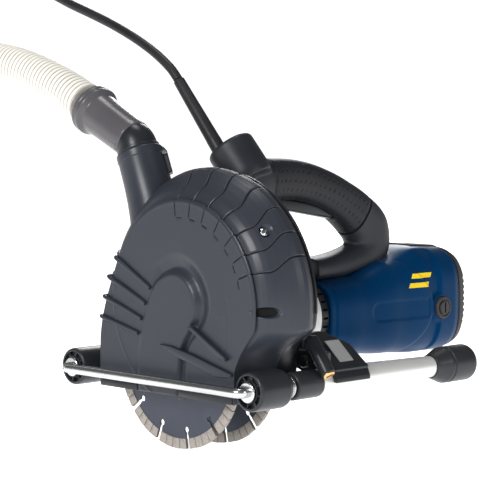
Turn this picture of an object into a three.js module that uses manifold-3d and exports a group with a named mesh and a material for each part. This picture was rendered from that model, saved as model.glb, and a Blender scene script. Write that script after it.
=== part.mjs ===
// Twin-blade wall chaser with plunging motor unit, as separate pieces in millimetres, +Z up.
// X runs along the motor axis, with X = 0 at the flat face of the hood and +X towards the motor.
// Y runs along the travel direction, with Y = 0 midway between the two axles.
// Z = 0 is the lowest point of the blades at full depth.
import * as THREE from 'three';
import { mergeVertices } from 'three/addons/utils/BufferGeometryUtils.js';
import Module from 'manifold-3d';

const wasm = await Module();
wasm.setup();

// ---- driving dimensions ---------------------------------------------------------------------
const GAP = 0.3;                       // clearance between pieces that touch
const BLADE_R = 90;                    // cutting radius of the diamond blades
const SPINDLE = { y: -5, z: 90 };      // spindle axis at full depth
const MOTOR = { y: -5, z: 122 };       // armature axis, above the spindle by one gear centre distance
const AXLE_Y = 131;                    // half the distance between the two axles
const AXLE_Z = 73;
const ROLLER_R = 19.2;
const BLADE_X = [20, 72];              // middle planes of the two blades
const SEGMENTS = 12;
const HOOD = { y: -29, z: 150 };       // centre of the round hood, where the raised spindle lies
const HOOD_BOTTOM = 57;
const HOOD_SPLIT_X = 57;
const HOOD_BACK_X = 87;
const WALL = 3;
const PLUNGE = 29 * Math.PI / 180;     // swing of the motor unit about the front axle
const PORT_TOP = new THREE.Vector3(42, 80, 298);
const PORT_DIR = new THREE.Vector3(0, 0.383, 0.924).normalize();
const CUFF_START = new THREE.Vector3(42, 88, 309.5);
const CUFF_DIR = new THREE.Vector3(0, 0.897, 0.442).normalize();
const HOSE_R = 22.5;
const CORD_R = 5;
const GUARD_DIR = new THREE.Vector3(0, 0.65, 0.76).normalize();
const GUARD_LENGTH = 92;
const GUARD_BASE = new THREE.Vector3(90, 11, 301.5);
const HANDLE_Y = -5;
const BRUSH_X = 367;
const MODULE = 1;
const WHEEL_TEETH = 48;
const PINION_TEETH = 16;

// ---- helpers --------------------------------------------------------------------------------
const model = new THREE.Group();

function finish(color, roughness, metalness = 0) {
  return new THREE.MeshStandardMaterial({ color, roughness, metalness });
}

const hoodPlastic = finish(0x3c4046, 0.55);
const blackPlastic = finish(0x202226, 0.5);
const softRubber = finish(0x24262b, 0.75);
const bluePlastic = finish(0x003c6e, 0.4);
const greyPlastic = finish(0x46423f, 0.6);
const castAlloy = finish(0xd8d8d6, 0.45, 0.6);
const satinAluminium = finish(0xcfcfcc, 0.4, 0.9);
const zincSteel = finish(0xd0d2d4, 0.25, 1);
const bladeSteel = finish(0x4b5262, 0.45, 0.8);
const copper = finish(0xb06a3a, 0.4, 1);
const brass = finish(0xc89a4a, 0.3, 1);
const ironStack = finish(0x5a5d60, 0.5, 0.8);
const ivoryHose = finish(0xf0ead8, 0.6);
const carbon = finish(0x2b2b2b, 0.8);

function solid(geometry) {
  const bare = geometry.index ? geometry.toNonIndexed() : geometry.clone();
  bare.deleteAttribute('normal');
  bare.deleteAttribute('uv');
  const merged = mergeVertices(bare, 1e-4);
  return new wasm.Manifold(new wasm.Mesh({
    numProp: 3,
    vertProperties: new Float32Array(merged.attributes.position.array),
    triVerts: new Uint32Array(merged.index.array),
  }));
}

function add(name, shape, material) {
  const result = shape.getMesh();
  const geometry = new THREE.BufferGeometry();
  geometry.setAttribute('position', new THREE.BufferAttribute(new Float32Array(result.vertProperties), 3));
  geometry.setIndex(new THREE.BufferAttribute(new Uint32Array(result.triVerts), 1));
  geometry.computeVertexNormals();
  const mesh = new THREE.Mesh(geometry, material);
  mesh.name = name;
  model.add(mesh);
}

// Rings of points joined into one closed body, with a fan over each end.
function loft(rings) {
  const count = rings[0].length;
  const points = rings.flat();
  const index = [];
  for (let i = 0; i < rings.length - 1; i++) {
    for (let j = 0; j < count; j++) {
      const a = i * count + j;
      const b = i * count + (j + 1) % count;
      index.push(a, b, b + count, a, b + count, a + count);
    }
  }
  const ends = [[0, true], [(rings.length - 1) * count, false]];
  for (const [base, flip] of ends) {
    const middle = new THREE.Vector3();
    for (let j = 0; j < count; j++) middle.add(points[base + j]);
    points.push(middle.divideScalar(count));
    for (let j = 0; j < count; j++) {
      const a = base + j;
      const b = base + (j + 1) % count;
      index.push(...(flip ? [b, a, points.length - 1] : [a, b, points.length - 1]));
    }
  }
  const geometry = new THREE.BufferGeometry().setFromPoints(points);
  geometry.setIndex(index);
  const body = solid(geometry);
  return body.volume() > 0 ? body : solid(flipped(geometry));
}

function flipped(geometry) {
  const index = geometry.index.array;
  for (let i = 0; i < index.length; i += 3) {
    const keep = index[i];
    index[i] = index[i + 1];
    index[i + 1] = keep;
  }
  return geometry;
}

// Body of revolution about a line through (y, z) along +X, from [x, radius] pairs.
function turned(profile, y, z, sides = 20) {
  const points = profile.map(([x, r]) => new THREE.Vector2(r, x));
  const closed = points[0].x > 0 ? [...points, points[0].clone()] : points;
  const geometry = new THREE.LatheGeometry(closed, sides);
  geometry.rotateZ(-Math.PI / 2);
  geometry.translate(0, y, z);
  const body = solid(geometry);
  return body.volume() > 0 ? body : solid(flipped(mergeVertices(bareCopy(geometry), 1e-4)));
}

function bareCopy(geometry) {
  const copy = geometry.clone();
  copy.deleteAttribute('normal');
  copy.deleteAttribute('uv');
  return copy;
}

// The same, about any axis that starts at origin and runs along direction.
function turnedAlong(profile, origin, direction, sides = 20) {
  const spin = new THREE.Quaternion().setFromUnitVectors(new THREE.Vector3(1, 0, 0), direction);
  const place = new THREE.Matrix4().compose(origin, spin, new THREE.Vector3(1, 1, 1));
  return turned(profile, 0, 0, sides).transform(place.elements);
}

function box(x0, x1, y0, y1, z0, z1) {
  const geometry = new THREE.BoxGeometry(x1 - x0, y1 - y0, z1 - z0);
  geometry.translate((x0 + x1) / 2, (y0 + y1) / 2, (z0 + z1) / 2);
  return solid(geometry);
}

function rod(x0, x1, r, y, z, sides = 20) {
  return turned([[x0, 0], [x0, r], [x1, r], [x1, 0]], y, z, sides);
}

function tube(x0, x1, outer, inner, y, z, sides = 20) {
  return turned([[x0, inner], [x0, outer], [x1, outer], [x1, inner]], y, z, sides);
}

// A flat outline in the Y-Z plane, given as [y, z] pairs, made thick from x0 to x1.
function plate(outline, x0, x1) {
  const shape = new THREE.Shape(outline.map(([y, z]) => new THREE.Vector2(y, z)));
  const geometry = new THREE.ExtrudeGeometry(shape, { depth: x1 - x0, bevelEnabled: false });
  geometry.rotateY(Math.PI / 2);
  geometry.rotateX(Math.PI / 2);
  geometry.translate(x0, 0, 0);
  return solid(geometry);
}

function ringPoints(sides, radius, phase = 0) {
  const points = [];
  for (let i = 0; i < sides; i++) {
    const angle = phase + i * 2 * Math.PI / sides;
    points.push([radius * Math.cos(angle), radius * Math.sin(angle)]);
  }
  return points;
}

// A round tube along a smooth curve through hand-placed points.
function alongCurve(points, radius, steps, sides = 12) {
  const section = new THREE.Shape(ringPoints(sides, radius).map(([a, b]) => new THREE.Vector2(a, b)));
  const path = new THREE.CatmullRomCurve3(points.map((p) => new THREE.Vector3(...p)), false, 'centripetal');
  return solid(new THREE.ExtrudeGeometry(section, { steps, bevelEnabled: false, extrudePath: path }));
}

function smooth(t) {
  const clamped = Math.min(1, Math.max(0, t));
  return clamped * clamped * (3 - 2 * clamped);
}

function interpolate(table, x) {
  let i = 0;
  while (i < table.length - 2 && x > table[i + 1][0]) i++;
  const t = smooth((x - table[i][0]) / (table[i + 1][0] - table[i][0]));
  return table[i].slice(1).map((value, k) => value + t * (table[i + 1][k + 1] - value));
}

// ---- hood -----------------------------------------------------------------------------------
// Radius of the hood at a distance x behind its flat face: a flat disc with a bulging rim.
const RIM = [[0, 103], [3, 105], [14, 115], [28, 128], [40, 134], [50, 134], [60, 126], [74, 110], [87, 98]];

function rimRadius(x) {
  let i = 0;
  while (i < RIM.length - 2 && x > RIM[i + 1][0]) i++;
  const t = (x - RIM[i][0]) / (RIM[i + 1][0] - RIM[i][0]);
  return RIM[i][1] + t * (RIM[i + 1][1] - RIM[i][1]);
}

// Outline of the hood at x: a round top, a flared rear flank and a cut-back front flank.
function hoodOutline(x, inset, bottom) {
  const r = rimRadius(x) - inset;
  const bulge = smooth(x / 45);
  const chin = 130 + inset + 10 * smooth((x - 74) / 10);
  const outline = [];
  const first = -Math.asin((HOOD.z - chin) / r);
  const last = 160 * Math.PI / 180;
  for (let i = 0; i <= 20; i++) {
    const angle = first + (last - first) * i / 20;
    outline.push([HOOD.y - r * Math.cos(angle), HOOD.z + r * Math.sin(angle)]);
  }
  const [topY, topZ] = outline[20];
  const wallY = 94 + 11 * bulge - inset;
  for (let i = 1; i <= 4; i++) {
    const t = i / 4;
    const z = topZ + (98 - topZ) * t;
    outline.push([topY + (wallY - topY) * Math.sin(t * Math.PI / 2), z]);
  }
  outline.push([wallY, bottom]);
  outline.push([-105 + inset, bottom]);
  outline.push([-105 + inset, 90]);
  const tuck = 7 * smooth((x - 74) / 10);
  outline.push([-112 - 4 * bulge + inset + tuck, 104 + 3 * bulge + inset * 0.5]);
  return outline.map(([y, z]) => new THREE.Vector3(x, y, z));
}

function hoodBody(x0, x1, inset, bottom) {
  const stops = RIM.map(([x]) => x).filter((x) => x > x0 + 0.5 && x < x1 - 0.5);
  return loft([x0, ...stops, x1].map((x) => hoodOutline(x, inset, bottom)));
}

// Ribs that stand on the flat face, and the raised arbor housing in its middle.
function faceRibs() {
  const bars = [];
  for (let i = 0; i < 4; i++) {
    const outer = [[67, 191], [78, 171], [85, 150], [90, 129]][i];
    const inner = [[14, 162], [21, 146], [27, 131], [32, 116]][i];
    const dy = inner[0] - outer[0];
    const dz = inner[1] - outer[1];
    const length = Math.hypot(dy, dz);
    const side = [-dz / length * 1.6, dy / length * 1.6];
    bars.push(plate([
      [outer[0] + side[0], outer[1] + side[1]], [inner[0] + side[0], inner[1] + side[1]],
      [inner[0] - side[0], inner[1] - side[1]], [outer[0] - side[0], outer[1] - side[1]],
    ], -3, 1));
  }
  return bars;
}

function arborHousing() {
  return plate([
    [37, 62], [34, 110], [19.4, 154], [7, 174], [-8, 181.3], [-22, 183.2], [-35, 178],
    [-44, 169], [-49.5, 156], [-50, 146], [-44, 131], [-32, 114], [-27, 98], [-24, 62],
  ], -4, 1);
}

function hoodPort() {
  const base = PORT_TOP.clone().addScaledVector(PORT_DIR, -85);
  const barrel = turnedAlong([[0, 0], [0, 22.3], [85, 22.3], [85, 0]], base, PORT_DIR);
  const side = new THREE.Vector3().crossVectors(PORT_DIR, new THREE.Vector3(1, 0, 0));
  const outward = new THREE.Vector3(0.72, 0, 0).addScaledVector(side, -0.69).normalize();
  const across = new THREE.Vector3().crossVectors(PORT_DIR, outward);
  const frame = new THREE.Matrix4().makeBasis(outward, across, PORT_DIR);
  const origin = PORT_TOP.clone().addScaledVector(PORT_DIR, -32);
  frame.setPosition(origin);
  const ear = box(19, 28, -6, 6, 0, 30).transform(frame.elements);
  const slit = box(15, 40, -0.8, 0.8, -3, 40).transform(frame.elements);
  return { barrel, ear, slit };
}

function portScrewFrame() {
  const side = new THREE.Vector3().crossVectors(PORT_DIR, new THREE.Vector3(1, 0, 0));
  const outward = new THREE.Vector3(0.72, 0, 0).addScaledVector(side, -0.69).normalize();
  const across = new THREE.Vector3().crossVectors(PORT_DIR, outward).negate();
  const seat = PORT_TOP.clone().addScaledVector(PORT_DIR, -10).addScaledVector(outward, 24.6);
  return { seat: seat.addScaledVector(across, 6 + GAP), across };
}

const HOOD_SCREW = { angle: 38 * Math.PI / 180, x: 22 };

function hoodScrewAxis() {
  const radial = new THREE.Vector3(0, -Math.cos(HOOD_SCREW.angle), Math.sin(HOOD_SCREW.angle));
  const inward = radial.clone().multiplyScalar(-1);
  const surface = new THREE.Vector3(HOOD_SCREW.x, HOOD.y, HOOD.z);
  surface.addScaledVector(radial, rimRadius(HOOD_SCREW.x));
  return { surface, inward };
}

function spindleSlot(radius, x0, x1) {
  let slot = null;
  for (let i = 0; i <= 10; i++) {
    const angle = PLUNGE * i / 10;
    const dy = SPINDLE.y + AXLE_Y;
    const dz = SPINDLE.z - AXLE_Z;
    const y = -AXLE_Y + dy * Math.cos(angle) - dz * Math.sin(angle);
    const z = AXLE_Z + dy * Math.sin(angle) + dz * Math.cos(angle);
    const hole = rod(x0, x1, radius, y, z, 24);
    slot = slot ? slot.add(hole) : hole;
  }
  return slot;
}

function hood() {
  const { barrel, ear, slit } = hoodPort();
  let front = hoodBody(0, HOOD_SPLIT_X, 0, HOOD_BOTTOM);
  front = front.add(barrel).add(ear).add(arborHousing());
  for (const rib of faceRibs()) front = front.add(rib);
  front = front.subtract(hoodBody(WALL, HOOD_SPLIT_X + 5, WALL, HOOD_BOTTOM - 20));
  const base = PORT_TOP.clone().addScaledVector(PORT_DIR, -85);
  front = front.subtract(turnedAlong([[-5, 0], [-5, 18.8], [90, 18.8], [90, 0]], base, PORT_DIR));
  front = front.subtract(slit);
  const { surface, inward } = hoodScrewAxis();
  const boss = turnedAlong([[0, 0], [0, 9], [11, 9], [11, 0]], surface, inward, 20);
  const skin = hoodBody(-5, HOOD_SPLIT_X, 0, 40).subtract(hoodBody(0, HOOD_SPLIT_X, 2, 30));
  front = front.add(boss.subtract(skin));
  front = front.subtract(turnedAlong([[-6, 0], [-6, 5.5], [7, 5.5], [7, 0]], surface, inward, 20));
  const splitGap = HOOD_SPLIT_X + GAP;
  let rear = hoodBody(splitGap, HOOD_BACK_X, 0, HOOD_BOTTOM);
  rear = rear.subtract(hoodBody(splitGap - 5, HOOD_BACK_X - WALL, WALL, HOOD_BOTTOM - 20));
  rear = rear.subtract(spindleSlot(21, 80, 100));
  rear = rear.subtract(turnedAlong([[0, 0], [0, 22.3 + GAP], [120, 22.3 + GAP], [120, 0]], base, PORT_DIR));
  add('hood_front_cover', front, hoodPlastic);
  add('hood_rear_shell', rear, blackPlastic);
  const head = turnedAlong([[0.6, 0], [0.6, 4.8], [4, 4.8], [6.7, 2], [6.7, 0]], surface, inward, 20);
  add('hood_screw', head, zincSteel);
  const { seat, across } = portScrewFrame();
  add('port_clamp_screw', turnedAlong([[0, 0], [0, 2.6], [2.4, 2.2], [2.4, 0]], seat, across, 16), zincSteel);
}

// ---- dust elbow, swivel cuff and hose ---------------------------------------------------------
function circleRing(centre, direction, radius, sides) {
  const across = new THREE.Vector3(1, 0, 0);
  const up = new THREE.Vector3().crossVectors(direction, across).normalize();
  return ringPoints(sides, radius).map(([a, b]) => (
    centre.clone().addScaledVector(across, a).addScaledVector(up, b)
  ));
}

function bendRings(radii, steps) {
  const curve = new THREE.CubicBezierCurve3(
    PORT_TOP.clone().addScaledVector(PORT_DIR, 0.5), PORT_TOP.clone().addScaledVector(PORT_DIR, 6),
    CUFF_START.clone().addScaledVector(CUFF_DIR, -5), CUFF_START,
  );
  const rings = [];
  for (let i = 0; i <= steps; i++) {
    const t = i / steps;
    rings.push(circleRing(curve.getPoint(t), curve.getTangent(t), radii[0] + t * (radii[1] - radii[0]), 14));
  }
  return rings;
}

function elbow() {
  const spigot = turnedAlong([[-26, 0], [-26, 18.5], [0.5, 18.5], [0.5, 0]], PORT_TOP, PORT_DIR, 14);
  const nose = turnedAlong([[-0.1, 0], [-0.1, 16.5], [14, 16.5], [14, 0]], CUFF_START, CUFF_DIR, 14);
  let body = loft(bendRings([20.8, 19.6], 4)).add(spigot).add(nose);
  body = body.subtract(turnedAlong([[-30, 0], [-30, 14], [4, 14], [4, 0]], PORT_TOP, PORT_DIR, 14));
  body = body.subtract(loft(bendRings([14, 14], 4)));
  body = body.subtract(turnedAlong([[-5, 0], [-5, 13.8], [18, 13.8], [18, 0]], CUFF_START, CUFF_DIR, 14));
  body = body.subtract(turnedAlong([[0, 16.6], [0, 30], [30, 30], [30, 16.6]], CUFF_START, CUFF_DIR, 14));
  add('dust_elbow', body, blackPlastic);
}

function cuff() {
  const profile = [
    [GAP, 17], [GAP, 20.4], [6, 21.2], [40, 21.8], [60, 22.6], [64, 25.5], [66, 27], [74, 27], [76, 25.5],
    [76, 19.5], [18, 19.5], [16, 17],
  ];
  add('hose_cuff', turnedAlong(profile, CUFF_START, CUFF_DIR, 24), blackPlastic);
}

// The hose leaves the cuff, arches over and lies down on the ground, where its connector rests.
const HOSE_ROUTE = [
  [42, 163, 346.5], [42, 200, 362], [42, 240, 376], [41, 285, 388], [38, 335, 394], [30, 390, 388],
  [18, 442, 366], [0, 488, 328], [-24, 524, 278], [-55, 548, 220], [-92, 560, 162], [-138, 562, 108],
  [-192, 556, 64], [-250, 546, 35], [-308, 536, 24], [-366, 526, 23.5], [-405, 520, 23.5],
];

function hose() {
  add('dust_hose', alongCurve(HOSE_ROUTE, HOSE_R, 26, 10), ivoryHose);
  const end = new THREE.Vector3(...HOSE_ROUTE.at(-1));
  const direction = new THREE.CatmullRomCurve3(HOSE_ROUTE.map((p) => new THREE.Vector3(...p))).getTangent(1);
  direction.z = 0;
  direction.normalize();
  const profile = [[GAP, 0], [GAP, 23.4], [48, 22.5], [70, 20], [70, 16], [20, 16], [20, 0]];
  add('hose_connector', turnedAlong(profile, end, direction, 24), blackPlastic);
}

// ---- running gear -----------------------------------------------------------------------------
function rollerLeft(name, y) {
  const profile = [
    [-6, 10.6], [-1, 10.6], [-1, 16], [-6, 16], [-6, 18], [-5, 18.8], [-3, ROLLER_R],
    [33, ROLLER_R], [36, 18.2], [43, 13], [43, 6.3], [-6, 6.3],
  ];
  add(name, turned(profile, y, AXLE_Z, 24), blackPlastic);
}

function rollerRight(name, y) {
  const profile = [
    [259, 6.3], [259, 12.6], [262, 13.2], [277, ROLLER_R], [279.6, ROLLER_R], [280.2, 18.2], [281.8, 18.2],
    [282.4, ROLLER_R], [313, ROLLER_R], [316, 18], [317, 15.5], [317, 0], [313, 0], [313, 6.3],
  ];
  add(name, turned(profile, y, AXLE_Z, 24), blackPlastic);
}

function sleeve(name, y) {
  const towardHood = y < 0 ? [y + 10, -105 - GAP] : [105 + GAP, y - 10];
  const web = box(58, 80, towardHood[0], towardHood[1], 63, 82);
  const body = rod(50, 86, 14, y, AXLE_Z).add(web).subtract(rod(40, 110, 6 + GAP, y, AXLE_Z));
  add(name, body, blackPlastic);
}

function runningGear() {
  for (const [side, y] of [['front', -AXLE_Y], ['rear', AXLE_Y]]) {
    rollerLeft(`roller_${side}_left`, y);
    rollerRight(`roller_${side}_right`, y);
    sleeve(`${side}_axle_bracket`, y);
    add(`${side}_axle_shaft`, rod(-5.7, 312.7, 6, y, AXLE_Z, 16), zincSteel);
    add(`${side}_washer`, rod(-9, -6 - GAP, 10.2, y, AXLE_Z, 20), zincSteel);
    add(`${side}_spacer_ring`, tube(43 + GAP, 48, 11.5, 6.3, y, AXLE_Z, 20), zincSteel);
  }
  const profile = [[86 + GAP, 6.3], [86 + GAP, 13.6], [151, 13.6], [259 - GAP, 11.2], [259 - GAP, 6.3]];
  add('front_axle_tube', turned(profile, -AXLE_Y, AXLE_Z), satinAluminium);
  add('rear_axle_tube', turned(profile, AXLE_Y, AXLE_Z), satinAluminium);
  tieRod();
}

function tieRod() {
  const x = -18;
  const route = [[-9.4, -AXLE_Y, AXLE_Z], [-11.8, -AXLE_Y, AXLE_Z], [-15.5, -AXLE_Y + 1.6, AXLE_Z]];
  route.push([x, -AXLE_Y + 7, AXLE_Z], [x, -AXLE_Y + 40, AXLE_Z], [x, 0, AXLE_Z]);
  for (const [px, py, pz] of route.slice(0, 5).reverse()) route.push([px, -py, pz]);
  const rings = [];
  const path = new THREE.CatmullRomCurve3(route.map((p) => new THREE.Vector3(...p)), false, 'centripetal');
  const stops = [0, 0.006, 0.013, 0.021, 0.032, 0.05, 0.12, 0.5];
  const all = [...stops, ...stops.slice(0, 7).reverse().map((t) => 1 - t)];
  for (const t of all) {
    const centre = path.getPointAt(t);
    const tangent = path.getTangentAt(t);
    const side = new THREE.Vector3().crossVectors(new THREE.Vector3(0, 0, 1), tangent).normalize();
    rings.push(ringPoints(12, 4.9).map(([a, b]) => (
      centre.clone().addScaledVector(side, a).add(new THREE.Vector3(0, 0, b))
    )));
  }
  add('tie_rod', loft(rings), zincSteel);
}

// ---- spindle ----------------------------------------------------------------------------------
function blade(name, x, phase) {
  const outline = [];
  const pitch = 2 * Math.PI / SEGMENTS;
  const slotR = BLADE_R - 22;          // the gullets between the segments reach in to here
  for (let i = 0; i < SEGMENTS; i++) {
    const start = phase + i * pitch;
    const slot = 0.024;
    for (let k = 0; k <= 3; k++) {
      const angle = start + slot + (pitch - 2 * slot) * k / 3;
      outline.push([BLADE_R * Math.cos(angle), BLADE_R * Math.sin(angle)]);
    }
    for (const angle of [start + pitch - slot, start + pitch + slot]) {
      outline.push([slotR * Math.cos(angle), slotR * Math.sin(angle)]);
    }
  }
  const disc = plate(outline.map(([a, b]) => [SPINDLE.y + a, SPINDLE.z + b]), x - 1.3, x + 1.3);
  add(name, disc.subtract(rod(x - 5, x + 5, 11.4, SPINDLE.y, SPINDLE.z)), bladeSteel);
}

function gearOutline(teeth, phase) {
  const pitchR = teeth * MODULE / 2;
  const outline = [];
  const step = 2 * Math.PI / teeth;
  const corners = [[-0.30, -1.2], [-0.13, 0.85], [0.13, 0.85], [0.30, -1.2]];
  for (let i = 0; i < teeth; i++) {
    for (const [along, out] of corners) {
      const angle = phase + (i + along) * step;
      outline.push([(pitchR + out) * Math.cos(angle), (pitchR + out) * Math.sin(angle)]);
    }
  }
  return outline;
}

function gearWheel(teeth, phase, centre, x0, x1) {
  return plate(gearOutline(teeth, phase).map(([a, b]) => [centre.y + a, centre.z + b]), x0, x1);
}

function spindle() {
  blade('blade_front', BLADE_X[0], 0.36);
  blade('blade_rear', BLADE_X[1], 0.344);
  const { y, z } = SPINDLE;
  const shaft = [
    [7, 0], [7, 8], [BLADE_X[0] + 1.3, 8], [BLADE_X[0] + 1.3, 11], [120, 11], [120, 9], [156, 9], [156, 0],
  ];
  add('spindle_shaft', turned(shaft, y, z, 20), zincSteel);
  const spacer = tube(BLADE_X[0] + 1.3 + GAP, BLADE_X[1] - 1.3 - GAP, 18, 11 + GAP, y, z);
  add('blade_spacer', spacer, zincSteel);
  add('inner_flange', tube(BLADE_X[1] + 1.3 + GAP, 80, 20, 11 + GAP, y, z), zincSteel);
  const nutTop = BLADE_X[0] - 1.3 - GAP;
  const bore = rod(0, 30, 8 + GAP, y, z);
  const nut = rod(9, nutTop, 21, y, z, 6).add(rod(nutTop - 4, nutTop, 24, y, z));
  add('clamp_nut', nut.subtract(bore), zincSteel);
  const wheel = gearWheel(WHEEL_TEETH, Math.PI / 2, SPINDLE, 128, 142);
  add('drive_gear', wheel.subtract(rod(120, 150, 9 + GAP, y, z)), ironStack);
}

// ---- armature -----------------------------------------------------------------------------------
function armature() {
  const { y, z } = MOTOR;
  const pinionPhase = -Math.PI / 2 + Math.PI / PINION_TEETH;
  const pinion = gearWheel(PINION_TEETH, pinionPhase, MOTOR, 126, 144);
  const shaft = turned([[118, 0], [118, 5], [126, 5], [126, 6], [399, 6], [399, 0]], y, z, 16);
  add('armature_shaft', pinion.add(shaft), zincSteel);
  add('armature_core', tube(232, 310, 27, 6 + GAP, y, z, 20), ironStack);
  add('commutator', tube(BRUSH_X - 10, BRUSH_X + 10, 14, 6 + GAP, y, z, 16), copper);
  let fan = tube(203, 207, 32, 6 + GAP, y, z, 20);
  for (let i = 0; i < 9; i++) {
    const angle = i * 2 * Math.PI / 9;
    const vane = solid(new THREE.BoxGeometry(8, 17, 2).translate(210.5, 22, 0).rotateX(angle));
    fan = fan.add(vane.translate([0, y, z]));
  }
  add('cooling_fan', fan, blackPlastic);
}

// ---- gear housing and pivot arm -------------------------------------------------------------------
function gearHousing() {
  const { y, z } = MOTOR;
  const nose = rod(84, 100, 19, SPINDLE.y, SPINDLE.z);
  const lower = rod(89, 165, 34, SPINDLE.y, SPINDLE.z + 2);
  const upper = turned([[89, 0], [89, 32], [94, 36], [160, 38], [164, 41], [186, 41], [186, 0]], y, z, 28);
  const lug = box(100, 132, -62, -20, 98, 120);
  let body = nose.add(lower).add(upper).add(lug);
  body = body.subtract(rod(60, 125, 12.5, SPINDLE.y, SPINDLE.z));
  body = body.subtract(rod(108, 120, 19 + GAP, SPINDLE.y, SPINDLE.z));
  body = body.subtract(rod(120, 160, 28, SPINDLE.y, SPINDLE.z));
  body = body.subtract(rod(114, 160, 13, y, z)).subtract(rod(155, 190, 14, y, z));
  add('gear_housing', body, castAlloy);
  add('spindle_bearing', tube(108 + GAP, 120 - GAP, 19, 11 + GAP, SPINDLE.y, SPINDLE.z, 20), zincSteel);
  add('front_motor_bearing', tube(172, 183, 13.7, 6 + GAP, y, z, 20), zincSteel);
  let ring = tube(186 + GAP, 198 - GAP, 40, 32, y, z, 28);
  for (let i = 0; i < 14; i++) {
    const slot = solid(new THREE.BoxGeometry(6, 6, 5).translate(192, 40, 0).rotateX(i * Math.PI / 7));
    ring = ring.subtract(slot.translate([0, y, z]));
  }
  add('air_ring', ring, blackPlastic);
}

const ARM_X = [98, 147];

// A plate that slopes down from the gear housing and saddles the front axle tube.
function pivotArm() {
  const barrel = rod(ARM_X[0], ARM_X[1], 19, -AXLE_Y, AXLE_Z, 24);
  const slope = plate([
    [-119, 88], [-100, 100], [-84, 101], [-84, 119], [-104, 119], [-148, 86], [-131, 73],
  ], ARM_X[0], ARM_X[1]);
  const corner = new THREE.BoxGeometry(90, 130, 90).translate(45, 0, 0).rotateZ(0.86);
  const trim = solid(corner.translate(118, -96, 130));
  const neck = box(ARM_X[0] - 6, ARM_X[0] + 6, -108, -62.4, 103, 119);
  let body = barrel.add(slope.subtract(trim)).add(neck);
  body = body.subtract(rod(90, 160, 13.6 + GAP, -AXLE_Y, AXLE_Z, 24));
  body = body.subtract(box(90, 160, -AXLE_Y - 30, -AXLE_Y + 30, 40, AXLE_Z));
  add('pivot_arm', body, blackPlastic);
}

const LASER = {
  lens: new THREE.Vector3(84, -151, 83.5),
  back: new THREE.Vector3(0, 0.586, 0.81).normalize(),
};

function laser() {
  const barrel = turnedAlong([[0.6, 0], [0.6, 5], [0, 5], [0, 6.8], [1, 7.4], [40, 7.4], [42, 6], [42, 0]],
    LASER.lens, LASER.back, 20);
  const shoe = box(84, ARM_X[0] - GAP, -142, -130, 92, 104);
  add('laser_barrel', barrel.add(shoe), blackPlastic);
  const ring = turnedAlong([[-1.8, 3.4], [-1.8, 5.8], [-GAP, 6.6], [-GAP, 3.4]], LASER.lens, LASER.back, 16);
  add('lens_ring', ring, brass);
}

function depthKnob() {
  const stop = ARM_X[0] - GAP;
  const outline = [[88, 0], [88, 5.4], [89, 6.2], [94, 6.2], [95, 4], [stop, 4], [stop, 0]];
  const knob = turned(outline, -112, 92, 14);
  add('depth_knob', knob, blackPlastic);
}

// ---- motor ----------------------------------------------------------------------------------------
// Sections of the motor housing: distance, bottom, top and half width.
const HOUSING = [[198, 80, 160, 44], [245, 77, 162, 46], [300, 73, 177, 50], [350, 70, 190, 53],
  [388, 70, 188, 53], [404, 76, 181, 49]];
const CAP = [[404 + GAP, 77, 180, 48], [409, 80, 177, 46], [416, 86, 171, 42], [421, 93, 164, 36]];

// A rounded section, squarer than an ellipse.
function roundedSection(x, bottom, top, halfWidth, inset, power = 3.2, count = 20) {
  const points = [];
  const middle = (bottom + top) / 2;
  for (let i = 0; i < count; i++) {
    const angle = i * 2 * Math.PI / count;
    const c = Math.cos(angle);
    const s = Math.sin(angle);
    const reach = 1 / (Math.abs(c) ** power + Math.abs(s) ** power) ** (1 / power);
    const y = MOTOR.y + reach * c * (halfWidth - inset);
    points.push(new THREE.Vector3(x, y, middle + reach * s * ((top - bottom) / 2 - inset)));
  }
  return points;
}

function motorHousing() {
  const stops = [198, 228, 245, 280, 300, 333, 350, 388, 398, 404];
  const rings = (inset, xs) => xs.map((x) => roundedSection(x, ...interpolate(HOUSING, x), inset));
  let body = loft(rings(0, stops));
  body = body.subtract(loft(rings(3.5, [193, 245, 300, 350, 388, 406])));
  for (const side of [-1, 1]) {
    const mouth = new THREE.Vector3(BRUSH_X, MOTOR.y + side * 58, MOTOR.z);
    const inward = new THREE.Vector3(0, -side, 0);
    body = body.subtract(turnedAlong([[0, 0], [0, 9], [20, 9], [20, 0]], mouth, inward, 18));
  }
  add('motor_housing', body, bluePlastic);
  let cap = loft(CAP.map(([x, bottom, top, half]) => roundedSection(x, bottom, top, half, 0)));
  cap = cap.subtract(loft([[398, 77, 180, 48], [409, 80, 177, 46], [417, 87, 170, 41]].map(
    ([x, bottom, top, half]) => roundedSection(x, bottom, top, half, 3.5))));
  for (let i = 0; i < 9; i++) {
    const slotZ = 98 + i * 6.6;
    cap = cap.subtract(box(415, 426, MOTOR.y - 60, MOTOR.y + 60, slotZ, slotZ + 3.2));
  }
  add('motor_end_cap', cap, greyPlastic);
  add('stator', tube(228, 314, 33.5, 27.8, MOTOR.y, MOTOR.z, 20), ironStack);
  add('rear_motor_bearing', tube(391, 397, 13, 6 + GAP, MOTOR.y, MOTOR.z, 16), zincSteel);
  brushGear();
}

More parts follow.
